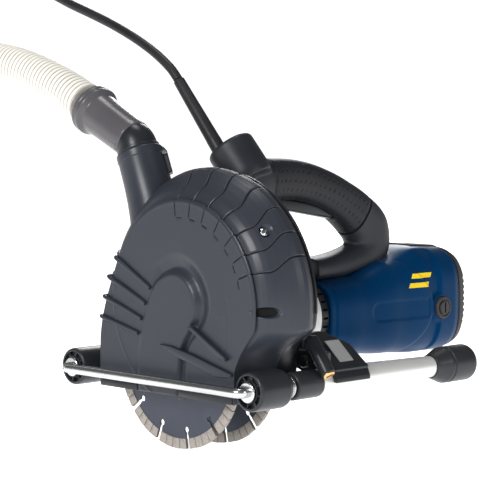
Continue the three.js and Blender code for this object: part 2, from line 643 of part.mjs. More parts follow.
function brushGear() {
  for (const [side, label] of [[-1, 'near'], [1, 'far']]) {
    const origin = new THREE.Vector3(BRUSH_X, MOTOR.y + side * 45.6, MOTOR.z);
    const outward = new THREE.Vector3(0, side, 0);
    const profile = [
      [0, 0], [0, 8.6], [8.6, 8.6], [8.6, 12], [10.6, 12], [12, 10.6], [12, 9.2], [11.2, 9.2], [11.2, 0],
    ];
    let cap = turnedAlong(profile, origin, outward, 18);
    const y = MOTOR.y + side * 57.6;
    cap = cap.subtract(box(BRUSH_X - 1, BRUSH_X + 1, y - 3, y + 3, MOTOR.z - 7, MOTOR.z + 7));
    add(`brush_cap_${label}`, cap, greyPlastic);
    const inner = MOTOR.y + side * (14 + GAP);
    const outer = MOTOR.y + side * (45.6 - GAP);
    const [low, high] = [Math.min(inner, outer), Math.max(inner, outer)];
    const brush = box(BRUSH_X - 4, BRUSH_X + 4, low, high, MOTOR.z - 4, MOTOR.z + 4);
    add(`carbon_brush_${label}`, brush, carbon);
  }
}

// ---- handle -----------------------------------------------------------------------------------------
// The loop of the handle: x, z, half width across and half thickness in the plane of the loop.
const LOOP = [
  [104, 260, 21, 24], [124, 266, 21, 24], [150, 268, 20, 22.5], [185, 266, 20, 22], [220, 257, 20, 22],
  [252, 243, 20, 23], [279, 226, 20, 26], [297, 209, 20, 29], [300, 192, 20, 26], [284, 180, 20, 19],
  [256, 174, 20, 15.5], [228, 171, 20, 14], [204, 170, 20, 13],
];
const POST = [[118, 262, 19, 17], [124, 232, 18, 15], [130, 200, 18, 15], [136, 172, 19, 18]];
const HEAD = { top: new THREE.Vector3(103, 9, 304.5), axis: new THREE.Vector3(-0.17, 0.57, 0.8).normalize() };

function sweep(table, from, to, steps, grow, count = 12) {
  const path = new THREE.CatmullRomCurve3(table.map(([x, z]) => new THREE.Vector3(x, HANDLE_Y, z)));
  const rings = [];
  for (let i = 0; i <= steps; i++) {
    const t = from + (to - from) * i / steps;
    const centre = path.getPoint(t);
    const tangent = path.getTangent(t);
    const normal = new THREE.Vector3(-tangent.z, 0, tangent.x);
    const place = t * (table.length - 1);
    const k = Math.min(table.length - 2, Math.floor(place));
    const blend = place - k;
    const half = [2, 3].map((c) => table[k][c] + blend * (table[k + 1][c] - table[k][c]) + grow);
    rings.push(ringPoints(count, 1).map(([a, b]) => {
      const reach = 1 / (Math.abs(a) ** 2.5 + Math.abs(b) ** 2.5) ** 0.4;
      const point = centre.clone().addScaledVector(normal, b * reach * half[1]);
      point.y += a * reach * half[0];
      return point;
    }));
  }
  return loft(rings);
}

const GRIP = [0.13, 0.5];
const TRIGGER_X = [152, 240];

function triggerSlot(grow) {
  return box(TRIGGER_X[0] - grow, TRIGGER_X[1] + grow, HANDLE_Y - 8 - grow, HANDLE_Y + 8 + grow, 222, 262);
}

function handle() {
  const headOrigin = HEAD.top.clone().addScaledVector(HEAD.axis, -46);
  const headProfile = [[0, 0], [0, 23], [8, 25.5], [44, 25.5], [46, 24], [46, 0]];
  const head = turnedAlong(headProfile, headOrigin, HEAD.axis, 24);
  let body = sweep(LOOP, 0, 1, 22, 0).add(sweep(POST, 0, 1, 5, 0)).add(head);
  const gripCore = sweep(LOOP, GRIP[0] - 0.02, GRIP[1] + 0.02, 11, -3);
  const sleeveBand = sweep(LOOP, GRIP[0], GRIP[1], 10, 6).subtract(gripCore);
  body = body.subtract(sleeveBand);
  body = body.subtract(sweep(LOOP, 0.03, 0.72, 12, -7, 10));
  body = body.subtract(triggerSlot(0.6)).subtract(hoodBody(-5, HOOD_BACK_X + 1.5, -1, 40));
  body = body.subtract(turned([[180, 0], [180, 42.5], [198, 42.5], [198, 0]], MOTOR.y, MOTOR.z, 28));
  const motorRings = [197, 245, 280, 300, 333, 350].map((x) => (
    roundedSection(x, ...interpolate(HOUSING, x), -0.8)
  ));
  body = body.subtract(loft(motorRings));
  body = body.subtract(box(70, 170, -40, 40, 100, 162.5));
  const guardHole = turnedAlong([[-60, 0], [-60, 7.8], [30, 7.8], [30, 0]], GUARD_BASE, GUARD_DIR, 16);
  body = body.subtract(guardHole);
  const button = rod(0, 40, 5.6, 0, 0, 20).rotate([0, 0, 90]).translate([158, HANDLE_Y, 268]);
  body = body.subtract(button);
  const nearSide = box(40, 360, HANDLE_Y - 60, HANDLE_Y - GAP / 2, 100, 400);
  const farSide = box(40, 360, HANDLE_Y + GAP / 2, HANDLE_Y + 60, 100, 400);
  add('handle_near_shell', largest(body.intersect(nearSide)), softRubber);
  add('handle_far_shell', largest(body.intersect(farSide)), softRubber);
  let grip = sweep(LOOP, GRIP[0] + 0.002, GRIP[1] - 0.002, 10, 0);
  grip = grip.subtract(sweep(LOOP, GRIP[0] - 0.02, GRIP[1] + 0.02, 11, -3 + GAP));
  grip = grip.subtract(triggerSlot(0.6));
  grip = grip.subtract(button);
  add('soft_grip', largest(grip), softRubber);
}

function largest(body) {
  return body.decompose().reduce((best, piece) => (piece.volume() > best.volume() ? piece : best));
}

function controls() {
  const y = HANDLE_Y;
  const paddle = solid(new THREE.BoxGeometry(TRIGGER_X[1] - TRIGGER_X[0], 14.4, 12).rotateY(0.17));
  const web = box(182, 218, y - 5, y + 5, 236, 246.5);
  add('trigger', paddle.translate([196, y, 237]).add(web), blackPlastic);
  add('switch_module', box(186, 226, y - 8, y + 8, 252.5, 264), carbon);
  const button = turnedAlong([[0, 0], [0, 4.9], [9, 4.9], [10, 4], [10, 0]],
    new THREE.Vector3(158, y + 14, 268), new THREE.Vector3(0, 1, 0), 16);
  add('lock_button', button, blackPlastic);
}

// ---- mains cord ---------------------------------------------------------------------------------------
const CORD_ROUTE = [
  [90, 71.5, 372.2], [90, 82, 383], [90, 104, 398.5], [90, 132, 413.5], [90, 170, 430], [90, 207, 443.5],
  [90, 250, 458], [90, 290, 473], [90, 330, 484], [90, 370, 484], [90, 403, 466], [89, 424, 430],
  [88, 434, 384], [88, 438, 330], [88, 438, 270], [88, 438, 210], [88, 438, 150], [88, 438, 96],
  [88.5, 438, 54], [89.5, 442, 26], [90.5, 454, 10], [91.4, 474, 5.4], [91.8, 500, 5.3],
];
const COIL = { x: 7, y: 500, ring: 56, height: 44 };

function cord() {
  const guard = turnedAlong([
    [-14, 0], [-14, 7.4], [10, 7.4], [14, 7.2], [GUARD_LENGTH, 6.2], [GUARD_LENGTH, CORD_R + GAP],
    [-8, CORD_R + GAP], [-8, 0],
  ], GUARD_BASE, GUARD_DIR, 14);
  add('cable_guard', guard, softRubber);
  add('mains_cable', alongCurve(CORD_ROUTE, CORD_R, 42, 8), softRubber);
  const ring = new THREE.LatheGeometry([
    new THREE.Vector2(COIL.ring - 15, 8), new THREE.Vector2(COIL.ring - 8, 0), new THREE.Vector2(COIL.ring + 16, 0),
    new THREE.Vector2(COIL.ring + 23, 8), new THREE.Vector2(COIL.ring + 23, COIL.height - 8),
    new THREE.Vector2(COIL.ring + 16, COIL.height), new THREE.Vector2(COIL.ring - 8, COIL.height),
    new THREE.Vector2(COIL.ring - 15, COIL.height - 8), new THREE.Vector2(COIL.ring - 15, 8),
  ], 28);
  ring.rotateX(Math.PI / 2);
  ring.translate(COIL.x, COIL.y, 0);
  const body = solid(ring);
  const outward = body.volume() > 0 ? body : solid(flipped(mergeVertices(bareCopy(ring), 1e-4)));
  add('cable_coil', outward, softRubber);
}

// The plug lies on the ground beside the coil.
function plug() {
  const origin = new THREE.Vector3(20, 601, 18.4);
  const profile = [[0, 0], [0, 5.5], [24, 7.5], [30, 15], [38, 18], [58, 18], [62, 16], [62, 0]];
  let body = turned(profile.map(([x, r]) => [origin.x - x, r]), origin.y, origin.z, 16);
  for (const side of [-1, 1]) {
    body = body.add(rod(origin.x - 83, origin.x - 61, 2.4, origin.y + side * 9.5, origin.z, 10));
  }
  add('mains_plug', body, softRubber);
}

hood();
elbow();
cuff();
hose();
runningGear();
spindle();
armature();
gearHousing();
pivotArm();
laser();
depthKnob();
motorHousing();
handle();
controls();
cord();
plug();

export default model;
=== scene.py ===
import math

import bmesh
import bpy
from mathutils import Matrix, Vector


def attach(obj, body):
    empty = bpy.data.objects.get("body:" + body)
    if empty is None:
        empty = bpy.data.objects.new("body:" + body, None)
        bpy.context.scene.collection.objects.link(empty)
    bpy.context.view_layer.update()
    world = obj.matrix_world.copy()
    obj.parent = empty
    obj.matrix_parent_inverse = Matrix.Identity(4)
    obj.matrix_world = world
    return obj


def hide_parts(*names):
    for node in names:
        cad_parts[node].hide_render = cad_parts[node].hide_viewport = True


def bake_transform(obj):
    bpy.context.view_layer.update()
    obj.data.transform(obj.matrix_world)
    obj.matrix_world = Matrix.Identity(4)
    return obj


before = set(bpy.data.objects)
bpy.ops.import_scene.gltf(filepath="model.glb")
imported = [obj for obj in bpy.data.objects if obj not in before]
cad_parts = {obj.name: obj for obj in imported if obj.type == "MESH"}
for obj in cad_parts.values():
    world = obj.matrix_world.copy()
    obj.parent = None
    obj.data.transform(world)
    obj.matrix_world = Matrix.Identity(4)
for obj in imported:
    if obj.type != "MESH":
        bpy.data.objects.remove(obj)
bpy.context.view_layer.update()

# All sizes below are in millimetres in the frame of the CAD model.
MM = 0.001
AXLE_Y = 131
AXLE_Z = 73
ROLLER_R = 19.2
SPINDLE = (-5, 90)
MOTOR = (-5, 122)
HOOD = (-29, 150)
HOOD_BOTTOM = 57
HOOD_SPLIT_X = 57
HOOD_BACK_X = 87
WALL = 3
PLUNGE = math.radians(29)
PORT_TOP = Vector((42, 80, 298))
PORT_DIR = Vector((0, 0.383, 0.924)).normalized()
CUFF_START = Vector((42, 88, 309.5))
CUFF_DIR = Vector((0, 0.897, 0.442)).normalized()
GUARD_BASE = Vector((90, 11, 301.5))
GUARD_DIR = Vector((0, 0.65, 0.76)).normalized()
HANDLE_Y = -5
BRUSH_X = 367


# ---- camera ---------------------------------------------------------------------------------
def add_camera():
    data = bpy.data.cameras.new("camera")
    data.lens = 142.55
    data.sensor_width = 36
    data.clip_end = 400
    camera = bpy.data.objects.new("camera", data)
    bpy.context.collection.objects.link(camera)
    place = Vector((-1316.67, -1467.42, 348.63)) * MM
    aim = Vector((127.76, 3.0, 195.09)) * MM
    camera.location = place
    camera.rotation_euler = (aim - place).to_track_quat("-Z", "Y").to_euler()
    bpy.context.scene.camera = camera


add_camera()


# ---- mesh helpers ---------------------------------------------------------------------------
def smooth(t):
    t = min(1.0, max(0.0, t))
    return t * t * (3 - 2 * t)


def mix(a, b, t):
    return a + (b - a) * t


def link(obj):
    bpy.context.collection.objects.link(obj)
    return obj


def shade(obj, sharp=35):
    mesh = obj.data
    work = bmesh.new()
    work.from_mesh(mesh)
    bmesh.ops.remove_doubles(work, verts=work.verts, dist=1e-6)
    bmesh.ops.recalc_face_normals(work, faces=work.faces)
    work.to_mesh(mesh)
    work.free()
    mesh.shade_smooth()
    mesh.set_sharp_from_angle(angle=math.radians(sharp))


def make(name, points, faces, sharp=35):
    mesh = bpy.data.meshes.new(name)
    mesh.from_pydata([tuple(Vector(p) * MM) for p in points], [], faces)
    obj = link(bpy.data.objects.new(name, mesh))
    shade(obj, sharp)
    return obj


def apply_modifiers(obj, sharp=35):
    graph = bpy.context.evaluated_depsgraph_get()
    mesh = bpy.data.meshes.new_from_object(obj.evaluated_get(graph))
    obj.modifiers.clear()
    obj.data = mesh
    mesh.shade_smooth()
    mesh.set_sharp_from_angle(angle=math.radians(sharp))
    return obj


def soften(obj, width=0.5, segments=3, angle=38):
    bevel = obj.modifiers.new("edges", "BEVEL")
    bevel.width = width * MM
    bevel.segments = segments
    bevel.limit_method = "ANGLE"
    bevel.angle_limit = math.radians(angle)
    bevel.harden_normals = True
    return obj


def thicken(shell):
    """Gives an open surface the hood's wall, grown inwards."""
    wall = shell.modifiers.new("wall", "SOLIDIFY")
    wall.thickness = WALL * MM
    wall.offset = -1


def cut(obj, tools, sharp=35):
    for tool in tools:
        step = obj.modifiers.new("cut", "BOOLEAN")
        step.object = tool
        step.operation = "DIFFERENCE"
        step.solver = "EXACT"
        apply_modifiers(obj, sharp)
        bpy.data.objects.remove(tool)
    return obj


def melt(obj, voxel, passes, sharp=50):
    remesh = obj.modifiers.new("melt", "REMESH")
    remesh.mode = "VOXEL"
    remesh.voxel_size = voxel * MM
    relax = obj.modifiers.new("relax", "SMOOTH")
    relax.factor = 0.5
    relax.iterations = passes
    return apply_modifiers(obj, sharp)


def ring_around(centre, across, other, reach, sides):
    ring = []
    for i in range(sides):
        angle = 2 * math.pi * i / sides
        ring.append(centre + (across * math.cos(angle) + other * math.sin(angle)) * reach)
    return ring


def arc(centre, radius, start, sweep, steps=24):
    """Flat points on an arc, both ends included."""
    angles = [start + sweep * i / steps for i in range(steps + 1)]
    return [(centre[0] + radius * math.cos(a), centre[1] + radius * math.sin(a)) for a in angles]


def squircle(c, s, power):
    """How far a rounded square reaches in the direction (c, s), if a circle reaches 1."""
    return 1 / (abs(c) ** power + abs(s) ** power) ** (1 / power)


def row_before(table, x):
    """Index of the table row whose stretch holds x."""
    i = 0
    while i < len(table) - 2 and x > table[i + 1][0]:
        i += 1
    return i


def rings_mesh(name, rings, caps=True, closed=True, sharp=35):
    count = len(rings[0])
    points = [p for ring in rings for p in ring]
    faces = []
    around = count if closed else count - 1
    for i in range(len(rings) - 1):
        for j in range(around):
            k = (j + 1) % count
            faces.append((i * count + j, i * count + k, (i + 1) * count + k, (i + 1) * count + j))
    if caps:
        faces.append(tuple(reversed(range(count))))
        faces.append(tuple(range((len(rings) - 1) * count, len(rings) * count)))
    return make(name, points, faces, sharp)


def rounded(profile, radius, steps=4):
    """Corners of an open profile replaced by small curves."""
    result = [profile[0]]
    for before, corner, after in zip(profile, profile[1:], profile[2:]):
        a, c, b = Vector(before), Vector(corner), Vector(after)
        reach = min(radius, (a - c).length * 0.45, (b - c).length * 0.45)
        start = c + (a - c).normalized() * reach
        end = c + (b - c).normalized() * reach
        for i in range(steps + 1):
            t = i / steps
            point = start * (1 - t) ** 2 + c * 2 * t * (1 - t) + end * t * t
            result.append((point.x, point.y))
    result.append(profile[-1])
    return result


def lathe(name, profile, origin, direction, sides=96, radius=0.5, sharp=40):
    """Body of revolution from (distance, radius) pairs, with rounded corners."""
    axis = Vector(direction).normalized()
    across = axis.orthogonal().normalized()
    other = axis.cross(across)
    line = rounded(profile, radius) if radius else profile
    loop = line[0][1] > 1e-6
    rings = []
    for along, reach in line:
        rings.append(ring_around(Vector(origin) + axis * along, across, other, max(reach, 1e-4), sides))
    if loop:
        rings.append(rings[0])
    return rings_mesh(name, rings, caps=not loop, sharp=sharp)


def rod(name, x0, x1, r, y, z, radius=0.6, sides=96):
    return lathe(name, [(x0, 0), (x0, r), (x1, r), (x1, 0)], (0, y, z), (1, 0, 0), sides, radius)


def block(name, low, high, bevel=0.0):
    mesh = bpy.data.meshes.new(name)
    work = bmesh.new()
    bmesh.ops.create_cube(work, size=1)
    size = Vector(high) - Vector(low)
    middle = (Vector(high) + Vector(low)) / 2
    for vertex in work.verts:
        vertex.co = Vector([vertex.co[i] * size[i] + middle[i] for i in range(3)]) * MM
    work.to_mesh(mesh)
    work.free()
    obj = link(bpy.data.objects.new(name, mesh))
    if bevel:
        soften(obj, bevel, 4)
    return obj


def extrude(name, outline, lo, hi, place, bevel=0.0, sharp=35):
    """A flat outline made thick: place(a, b, height) gives the point in space."""
    count = len(outline)
    points = [place(a, b, lo) for a, b in outline] + [place(a, b, hi) for a, b in outline]
    faces = [tuple(reversed(range(count))), tuple(range(count, 2 * count))]
    faces += [(i, (i + 1) % count, (i + 1) % count + count, i + count) for i in range(count)]
    obj = make(name, points, faces, sharp)
    if bevel:
        soften(obj, bevel)
    return obj


def on_yz(a, b, height):
    return (height, a, b)


def on_xz(a, b, height):
    return (a, height, b)


def turned_about(y, z, angle):
    """Like on_yz, but turned about a line along X."""
    c, s = math.cos(angle), math.sin(angle)
    return lambda a, b, height: (height, y + a * c - b * s, z + a * s + b * c)


def catmull(points):
    """Point on a centripetal curve through all the points, t from 0 to 1."""
    points = [Vector(p) for p in points]
    ends = [points[0] * 2 - points[1]] + points + [points[-1] * 2 - points[-2]]

    def at(t):
        place = min(max(t, 0), 1) * (len(points) - 1)
        k = min(int(place), len(points) - 2)
        w = place - k
        a, b, c, d = ends[k:k + 4]
        ab = max((b - a).length ** 0.5, 1e-6)
        bc = max((c - b).length ** 0.5, 1e-6)
        cd = max((d - c).length ** 0.5, 1e-6)
        out = ((b - a) / ab - (c - a) / (ab + bc) + (c - b) / bc) * bc
        into = ((c - b) / bc - (d - b) / (bc + cd) + (d - c) / cd) * bc
        return (b + out * w + (b * -3 + c * 3 - out * 2 - into) * w ** 2
                + (b * 2 - c * 2 + out + into) * w ** 3)

    return at


def spaced(points, step):
    """The curve through the points, resampled at equal distances."""
    at = catmull(points)
    dense = [at(i / (len(points) * 40)) for i in range(len(points) * 40 + 1)]
    lengths = [0.0]
    for a, b in zip(dense, dense[1:]):
        lengths.append(lengths[-1] + (b - a).length)
    count = max(2, round(lengths[-1] / step))
    result = []
    k = 0
    for i in range(count + 1):
        want = lengths[-1] * i / count
        while k < len(dense) - 2 and lengths[k + 1] < want:
            k += 1
        t = (want - lengths[k]) / max(lengths[k + 1] - lengths[k], 1e-9)
        result.append(dense[k].lerp(dense[k + 1], min(t, 1)))
    return result


def path_length(path):
    return sum((b - a).length for a, b in zip(path, path[1:]))


def tube_mesh(name, path, radius_at, sides=24, sharp=60):
    """A round tube along a path, with a frame that doesn't twist."""
    rings = []
    tangent = (path[1] - path[0]).normalized()
    normal = tangent.orthogonal().normalized()
    walked = 0.0
    for i, centre in enumerate(path):
        ahead = path[min(i + 1, len(path) - 1)]
        behind = path[max(i - 1, 0)]
        turned = (ahead - behind).normalized()
        normal = (normal - turned * normal.dot(turned)).normalized()
        side = turned.cross(normal)
        if i:
            walked += (centre - path[i - 1]).length
        rings.append(ring_around(centre, normal, side, radius_at(walked), sides))
    return rings_mesh(name, rings, sharp=sharp)


def join(name, parts):
    base = parts[0]
    mesh = bpy.data.meshes.new(name)
    work = bmesh.new()
    graph = bpy.context.evaluated_depsgraph_get()
    for part in parts:
        baked = bpy.data.meshes.new_from_object(part.evaluated_get(graph))
        work.from_mesh(baked)
        bpy.data.meshes.remove(baked)
    work.to_mesh(mesh)
    work.free()
    for part in parts:
        bpy.data.objects.remove(part)
    obj = link(bpy.data.objects.new(name, mesh))
    mesh.shade_smooth()
    mesh.set_sharp_from_angle(angle=math.radians(38))
    return obj


# ---- materials ------------------------------------------------------------------------------
class Recipe:
    """A Principled material with colour variation, roughness variation and bump from noise."""

    def __init__(self, name, color, roughness, metallic=0.0, coat=0.0):
        self.material = bpy.data.materials.new(name)
        self.material.use_nodes = True
        self.nodes = self.material.node_tree.nodes
        self.links = self.material.node_tree.links
        self.shader = self.nodes["Principled BSDF"]
        self.shader.inputs["Metallic"].default_value = metallic
        self.shader.inputs["Coat Weight"].default_value = coat
        self.shader.inputs["Coat Roughness"].default_value = 0.25
        self.shader.inputs["Specular IOR Level"].default_value = 0.5 if metallic > 0.2 else 0.32
        self.shader.inputs["Roughness"].default_value = roughness
        self.shader.inputs["Base Color"].default_value = (*color, 1)
        self.color = color
        self.roughness = roughness
        self.place = self.nodes.new("ShaderNodeTexCoord").outputs["Object"]
        self.bump_from = None

    def noise(self, scale, detail=4.0, stretch=None):
        source = self.place
        if stretch:
            mapping = self.nodes.new("ShaderNodeMapping")
            mapping.inputs["Scale"].default_value = stretch
            self.links.new(source, mapping.inputs["Vector"])
            source = mapping.outputs["Vector"]
        texture = self.nodes.new("ShaderNodeTexNoise")
        texture.inputs["Scale"].default_value = scale
        texture.inputs["Detail"].default_value = detail
        self.links.new(source, texture.inputs["Vector"])
        return texture.outputs["Fac"]

    def ramp(self, value, low, high, out_low, out_high):
        node = self.nodes.new("ShaderNodeMapRange")
        node.inputs["From Min"].default_value = low
        node.inputs["From Max"].default_value = high
        node.inputs["To Min"].default_value = out_low
        node.inputs["To Max"].default_value = out_high
        self.links.new(value, node.inputs["Value"])
        return node.outputs["Result"]

    def math(self, operation, a, b=None):
        node = self.nodes.new("ShaderNodeMath")
        node.operation = operation
        for socket, value in zip(node.inputs, (a, b)):
            if value is None:
                continue
            if isinstance(value, (int, float)):
                socket.default_value = value
            else:
                self.links.new(value, socket)
        return node.outputs[0]

    def tint(self, other, factor):
        """Mixes another colour over the present one by a 0 to 1 factor."""
        node = self.nodes.new("ShaderNodeMix")
        node.data_type = "RGBA"
        base = self.shader.inputs["Base Color"]
        if base.is_linked:
            self.links.new(base.links[0].from_socket, node.inputs["A"])
        else:
            node.inputs["A"].default_value = (*self.color, 1)
        node.inputs["B"].default_value = (*other, 1)
        self.links.new(factor, node.inputs["Factor"])
        self.links.new(node.outputs["Result"], base)
        return self

    def vary(self, amount=0.25, scale=9.0):
        """Slow colour and gloss changes, as handling and dust leave."""
        field = self.noise(scale)
        lighter = tuple(min(1, c * (1 + amount) + amount * 0.01) for c in self.color)
        self.tint(lighter, self.ramp(field, 0.35, 0.7, 0, 1))
        spread = self.ramp(field, 0.3, 0.75, self.roughness * 0.88, min(1, self.roughness * 1.14))
        self.links.new(spread, self.shader.inputs["Roughness"])
        return self

    def bump(self, height, distance, strength=1.0):
        node = self.nodes.new("ShaderNodeBump")
        node.inputs["Strength"].default_value = strength
        node.inputs["Distance"].default_value = distance * MM
        self.links.new(height, node.inputs["Height"])
        if self.bump_from:
            self.links.new(self.bump_from, node.inputs["Normal"])
        self.bump_from = node.outputs["Normal"]
        self.links.new(self.bump_from, self.shader.inputs["Normal"])
        return self

    def grain(self, scale=1400.0, depth=0.05, strength=0.6):
        return self.bump(self.noise(scale, 2.0), depth, strength)

    def within(self, value, low, high):
        """1 where the value lies between low and high, else 0."""
        above = self.math("GREATER_THAN", value, low)
        return self.math("MULTIPLY", above, self.math("LESS_THAN", value, high))

    def uv(self, name):
        node = self.nodes.new("ShaderNodeUVMap")
        node.uv_map = name
        return node.outputs["UV"]

    def axis(self, name):
        split = self.nodes.new("ShaderNodeSeparateXYZ")
        self.links.new(self.place, split.inputs["Vector"])
        return split.outputs[name]


def plain(name, color, roughness, vary, grain, metallic=0.0):
    """A material with nothing but its colour, slow changes and a fine grain."""
    return Recipe(name, color, roughness, metallic).vary(*vary).grain(*grain).material


def black(name, color, roughness=0.32):
    return plain(name, color, roughness, (0.3, 11), (1600, 0.04, 0.5))


def grip_material():
    recipe = Recipe("grip_rubber", (0.009, 0.0095, 0.014), 0.5)
    recipe.vary(0.25, 14).grain(2100, 0.05, 0.6)
    dots = recipe.nodes.new("ShaderNodeTexVoronoi")
    dots.inputs["Scale"].default_value = 1.0
    dots.inputs["Randomness"].default_value = 0.0
    recipe.links.new(recipe.uv("grip"), dots.inputs["Vector"])
    # The dimples are tinted near-black as well as sunk: painted shade in the dimples.
    pit = recipe.ramp(dots.outputs["Distance"], 0.14, 0.2, 1, 0)
    recipe.tint((0.001, 0.001, 0.001), pit)
    return recipe.bump(recipe.math("SUBTRACT", 1.0, pit), 0.8, 1.0).material


def blue_material():
    recipe = Recipe("blue_plastic", (0.0, 0.027, 0.088), 0.38).vary(0.16, 7)
    z = recipe.axis("Z")
    lean = recipe.math("SUBTRACT", recipe.axis("X"), recipe.math("MULTIPLY", z, 0.55))
    low_bar, high_bar = [recipe.within(z, low, low + 0.0052) for low in (0.1465, 0.1565)]
    heights = recipe.math("MAXIMUM", low_bar, high_bar)
    bars = recipe.math("MULTIPLY", heights, recipe.within(lean, 0.2335, 0.2655))
    near_side = recipe.math("LESS_THAN", recipe.axis("Y"), -0.02)
    recipe.tint((0.93, 0.66, 0.015), recipe.math("MULTIPLY", bars, near_side))
    recipe.shader.inputs["Specular IOR Level"].default_value = 0.2
    recipe.shader.inputs["Specular Tint"].default_value = (0.02, 0.35, 0.8, 1)
    return recipe.grain(1500, 0.03, 0.4).material


def tube_material():
    recipe = Recipe("satin_aluminium", (0.82, 0.82, 0.80), 0.36, 0.45)
    lines = recipe.noise(60, 3, stretch=(1, 26, 26))
    return recipe.vary(0.08, 14).bump(lines, 0.03, 0.5).material


def segment_material():
    recipe = Recipe("diamond_segment", (0.35, 0.32, 0.29), 0.6, 0.25)
    grit = recipe.noise(900, 5)
    recipe.tint((0.16, 0.135, 0.12), recipe.ramp(grit, 0.5, 0.72, 0, 0.8))
    return recipe.bump(grit, 0.25, 0.8).material


def hose_material():
    recipe = Recipe("ivory_hose", (0.88, 0.85, 0.78), 0.42)
    recipe.shader.inputs["Subsurface Weight"].default_value = 0.12
    recipe.shader.inputs["Subsurface Radius"].default_value = (0.004, 0.003, 0.002)
    recipe.vary(0.06, 8)
    split = recipe.nodes.new("ShaderNodeSeparateXYZ")
    recipe.links.new(recipe.uv("rings"), split.inputs["Vector"])
    # Darker brown in the valleys between the rings: painted shade in the corrugation.
    wave = recipe.math("PINGPONG", split.outputs["X"], 0.5)
    recipe.tint((0.16, 0.125, 0.09), recipe.ramp(wave, 0.22, 0.5, 0, 0.9))
    return recipe.grain(1200, 0.04, 0.4).material


def glass_material():
    recipe = Recipe("laser_lens", (0.75, 0.12, 0.08), 0.06)
    recipe.shader.inputs["Transmission Weight"].default_value = 0.7
    recipe.shader.inputs["IOR"].default_value = 1.5
    return recipe.vary(0.1, 200).material


hood_plastic = plain("hood_plastic", (0.026, 0.030, 0.040), 0.38, (0.22, 6), (1500, 0.045, 0.5))
black_plastic = black("black_plastic", (0.013, 0.0145, 0.018))
roller_plastic = black("roller_plastic", (0.018, 0.020, 0.024))
gloss_black = black("cuff_plastic", (0.075, 0.072, 0.078), 0.24)
# Dark brown filler under the facets, seen only in the slits between them: painted shade in the slits.
facet_slit_shade = black("facet_slit_shade", (0.10, 0.085, 0.075), 0.7)
# Near-black: painted shade on the notch floor, groove bottoms, port slit and grip seam; also the carbon
# brushes' own colour.
painted_shade_and_carbon = black("painted_shade_and_carbon_black", (0.001, 0.001, 0.0012), 0.9)
soft_rubber = plain("soft_rubber", (0.015, 0.0165, 0.022), 0.44, (0.3, 14), (2100, 0.06, 0.7))
cable_rubber = plain("cable_rubber", (0.012, 0.012, 0.014), 0.42, (0.3, 20), (1800, 0.04))
grey_plastic = plain("grey_plastic", (0.034, 0.031, 0.031), 0.5, (0.2, 12), (1500, 0.05))
label_film = plain("label_film", (0.40, 0.40, 0.40), 0.4, (0.06, 40), (900, 0.01, 0.3))
cast_alloy = plain("cast_alloy", (0.68, 0.68, 0.67), 0.42, (0.1, 20), (700, 0.12, 0.5), 0.3)
zinc = plain("zinc_steel", (0.56, 0.58, 0.58), 0.22, (0.1, 30), (380, 0.03, 0.35), 1.0)
blade_core = plain("blade_core", (0.038, 0.044, 0.062), 0.38, (0.25, 24), (500, 0.02, 0.5), 0.45)
lens_brass = plain("lens_brass", (0.72, 0.47, 0.16), 0.22, (0.15, 60), (400, 0.02, 0.3), 1.0)
iron = plain("iron_stack", (0.13, 0.13, 0.14), 0.45, (0.2, 20), (700, 0.08), 0.8)
copper = plain("copper", (0.65, 0.31, 0.16), 0.32, (0.15, 40), (600, 0.03), 1.0)
grip_rubber = grip_material()
blue_plastic = blue_material()
satin_tube = tube_material()
segments = segment_material()
hose_plastic = hose_material()
lens_glass = glass_material()


def finish(obj, material, body, slot=None, *nodes):
    obj.data.materials.clear()
    obj.data.materials.append(material)
    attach(obj, body)
    if nodes:
        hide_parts(*nodes)
    return obj


# ---- mains cord and dust hose ---------------------------------------------------------------
CORD_ROUTE = [
    (90, 71.5, 372.2), (90, 82, 383), (90, 104, 398.5), (90, 132, 413.5), (90, 170, 430),
    (90, 207, 443.5), (90, 250, 458), (90, 290, 473), (90, 330, 484), (90, 370, 484),
    (90, 403, 466), (89, 424, 430), (88, 434, 384), (88, 438, 330), (88, 438, 270),
    (88, 438, 210), (88, 438, 150), (88, 438, 96), (88.5, 438, 54), (89.5, 442, 26),
    (90.5, 454, 10), (91.4, 474, 5.6), (91.5, 500, 5.5),
]
COIL = Vector((7, 500, 0))
COIL_RADII = (71.5, 60.5, 49.5)
COIL_LAYERS = (5.5, 15.9, 26.3, 36.7)
COIL_TURNS = 11
PLUG_ROUTE = [
    (56, 566, 37), (52, 584, 31), (44, 596, 24), (34, 600.5, 19.5), (24, 601, 18.4), (20.5, 601, 18.4),
]
CORD_RADIUS = 5
TIE = Vector((COIL.x - COIL_RADII[1], COIL.y, 21.3))
TIE_RADIUS = 21
TIE_SQUEEZE = 0.82


def coil_route():
    """Turns that lie side by side in layers, then a hump over them down to the plug."""
    points = []
    spots = []
    for layer, z in enumerate(COIL_LAYERS):
        row = COIL_RADII if layer % 2 == 0 else tuple(reversed(COIL_RADII))
        spots += [(r, z) for r in row]
    steps = 16
    for turn in range(COIL_TURNS):
        here = spots[turn]
        after = spots[min(turn + 1, len(spots) - 1)]
        for i in range(steps):
            t = i / steps
            shift = smooth((t - 0.72) / 0.28)
            r = mix(here[0], after[0], shift)
            z = mix(here[1], after[1], shift)
            if turn == 0:
                r += 13 * (1 - smooth(t / 0.22))
            if turn == 0 and i == 0:
                continue
            angle = 2 * math.pi * t
            points.append((COIL.x + r * math.cos(angle), COIL.y + r * math.sin(angle), z))
    r, z = spots[COIL_TURNS]
    for degrees, grow, height in ((0, 0, 0), (14, 0, 0.5), (26, 3, 1.5), (38, 10, 2)):
        angle = math.radians(degrees)
        reach = r + grow
        points.append((COIL.x + reach * math.cos(angle), COIL.y + reach * math.sin(angle), z + height))
    return points + PLUG_ROUTE


def squared(value, reach):
    """Pushes a circle's coordinate outwards, so that the circle becomes a rounded square."""
    return math.copysign(math.sqrt(min(abs(value), reach) * reach), value)


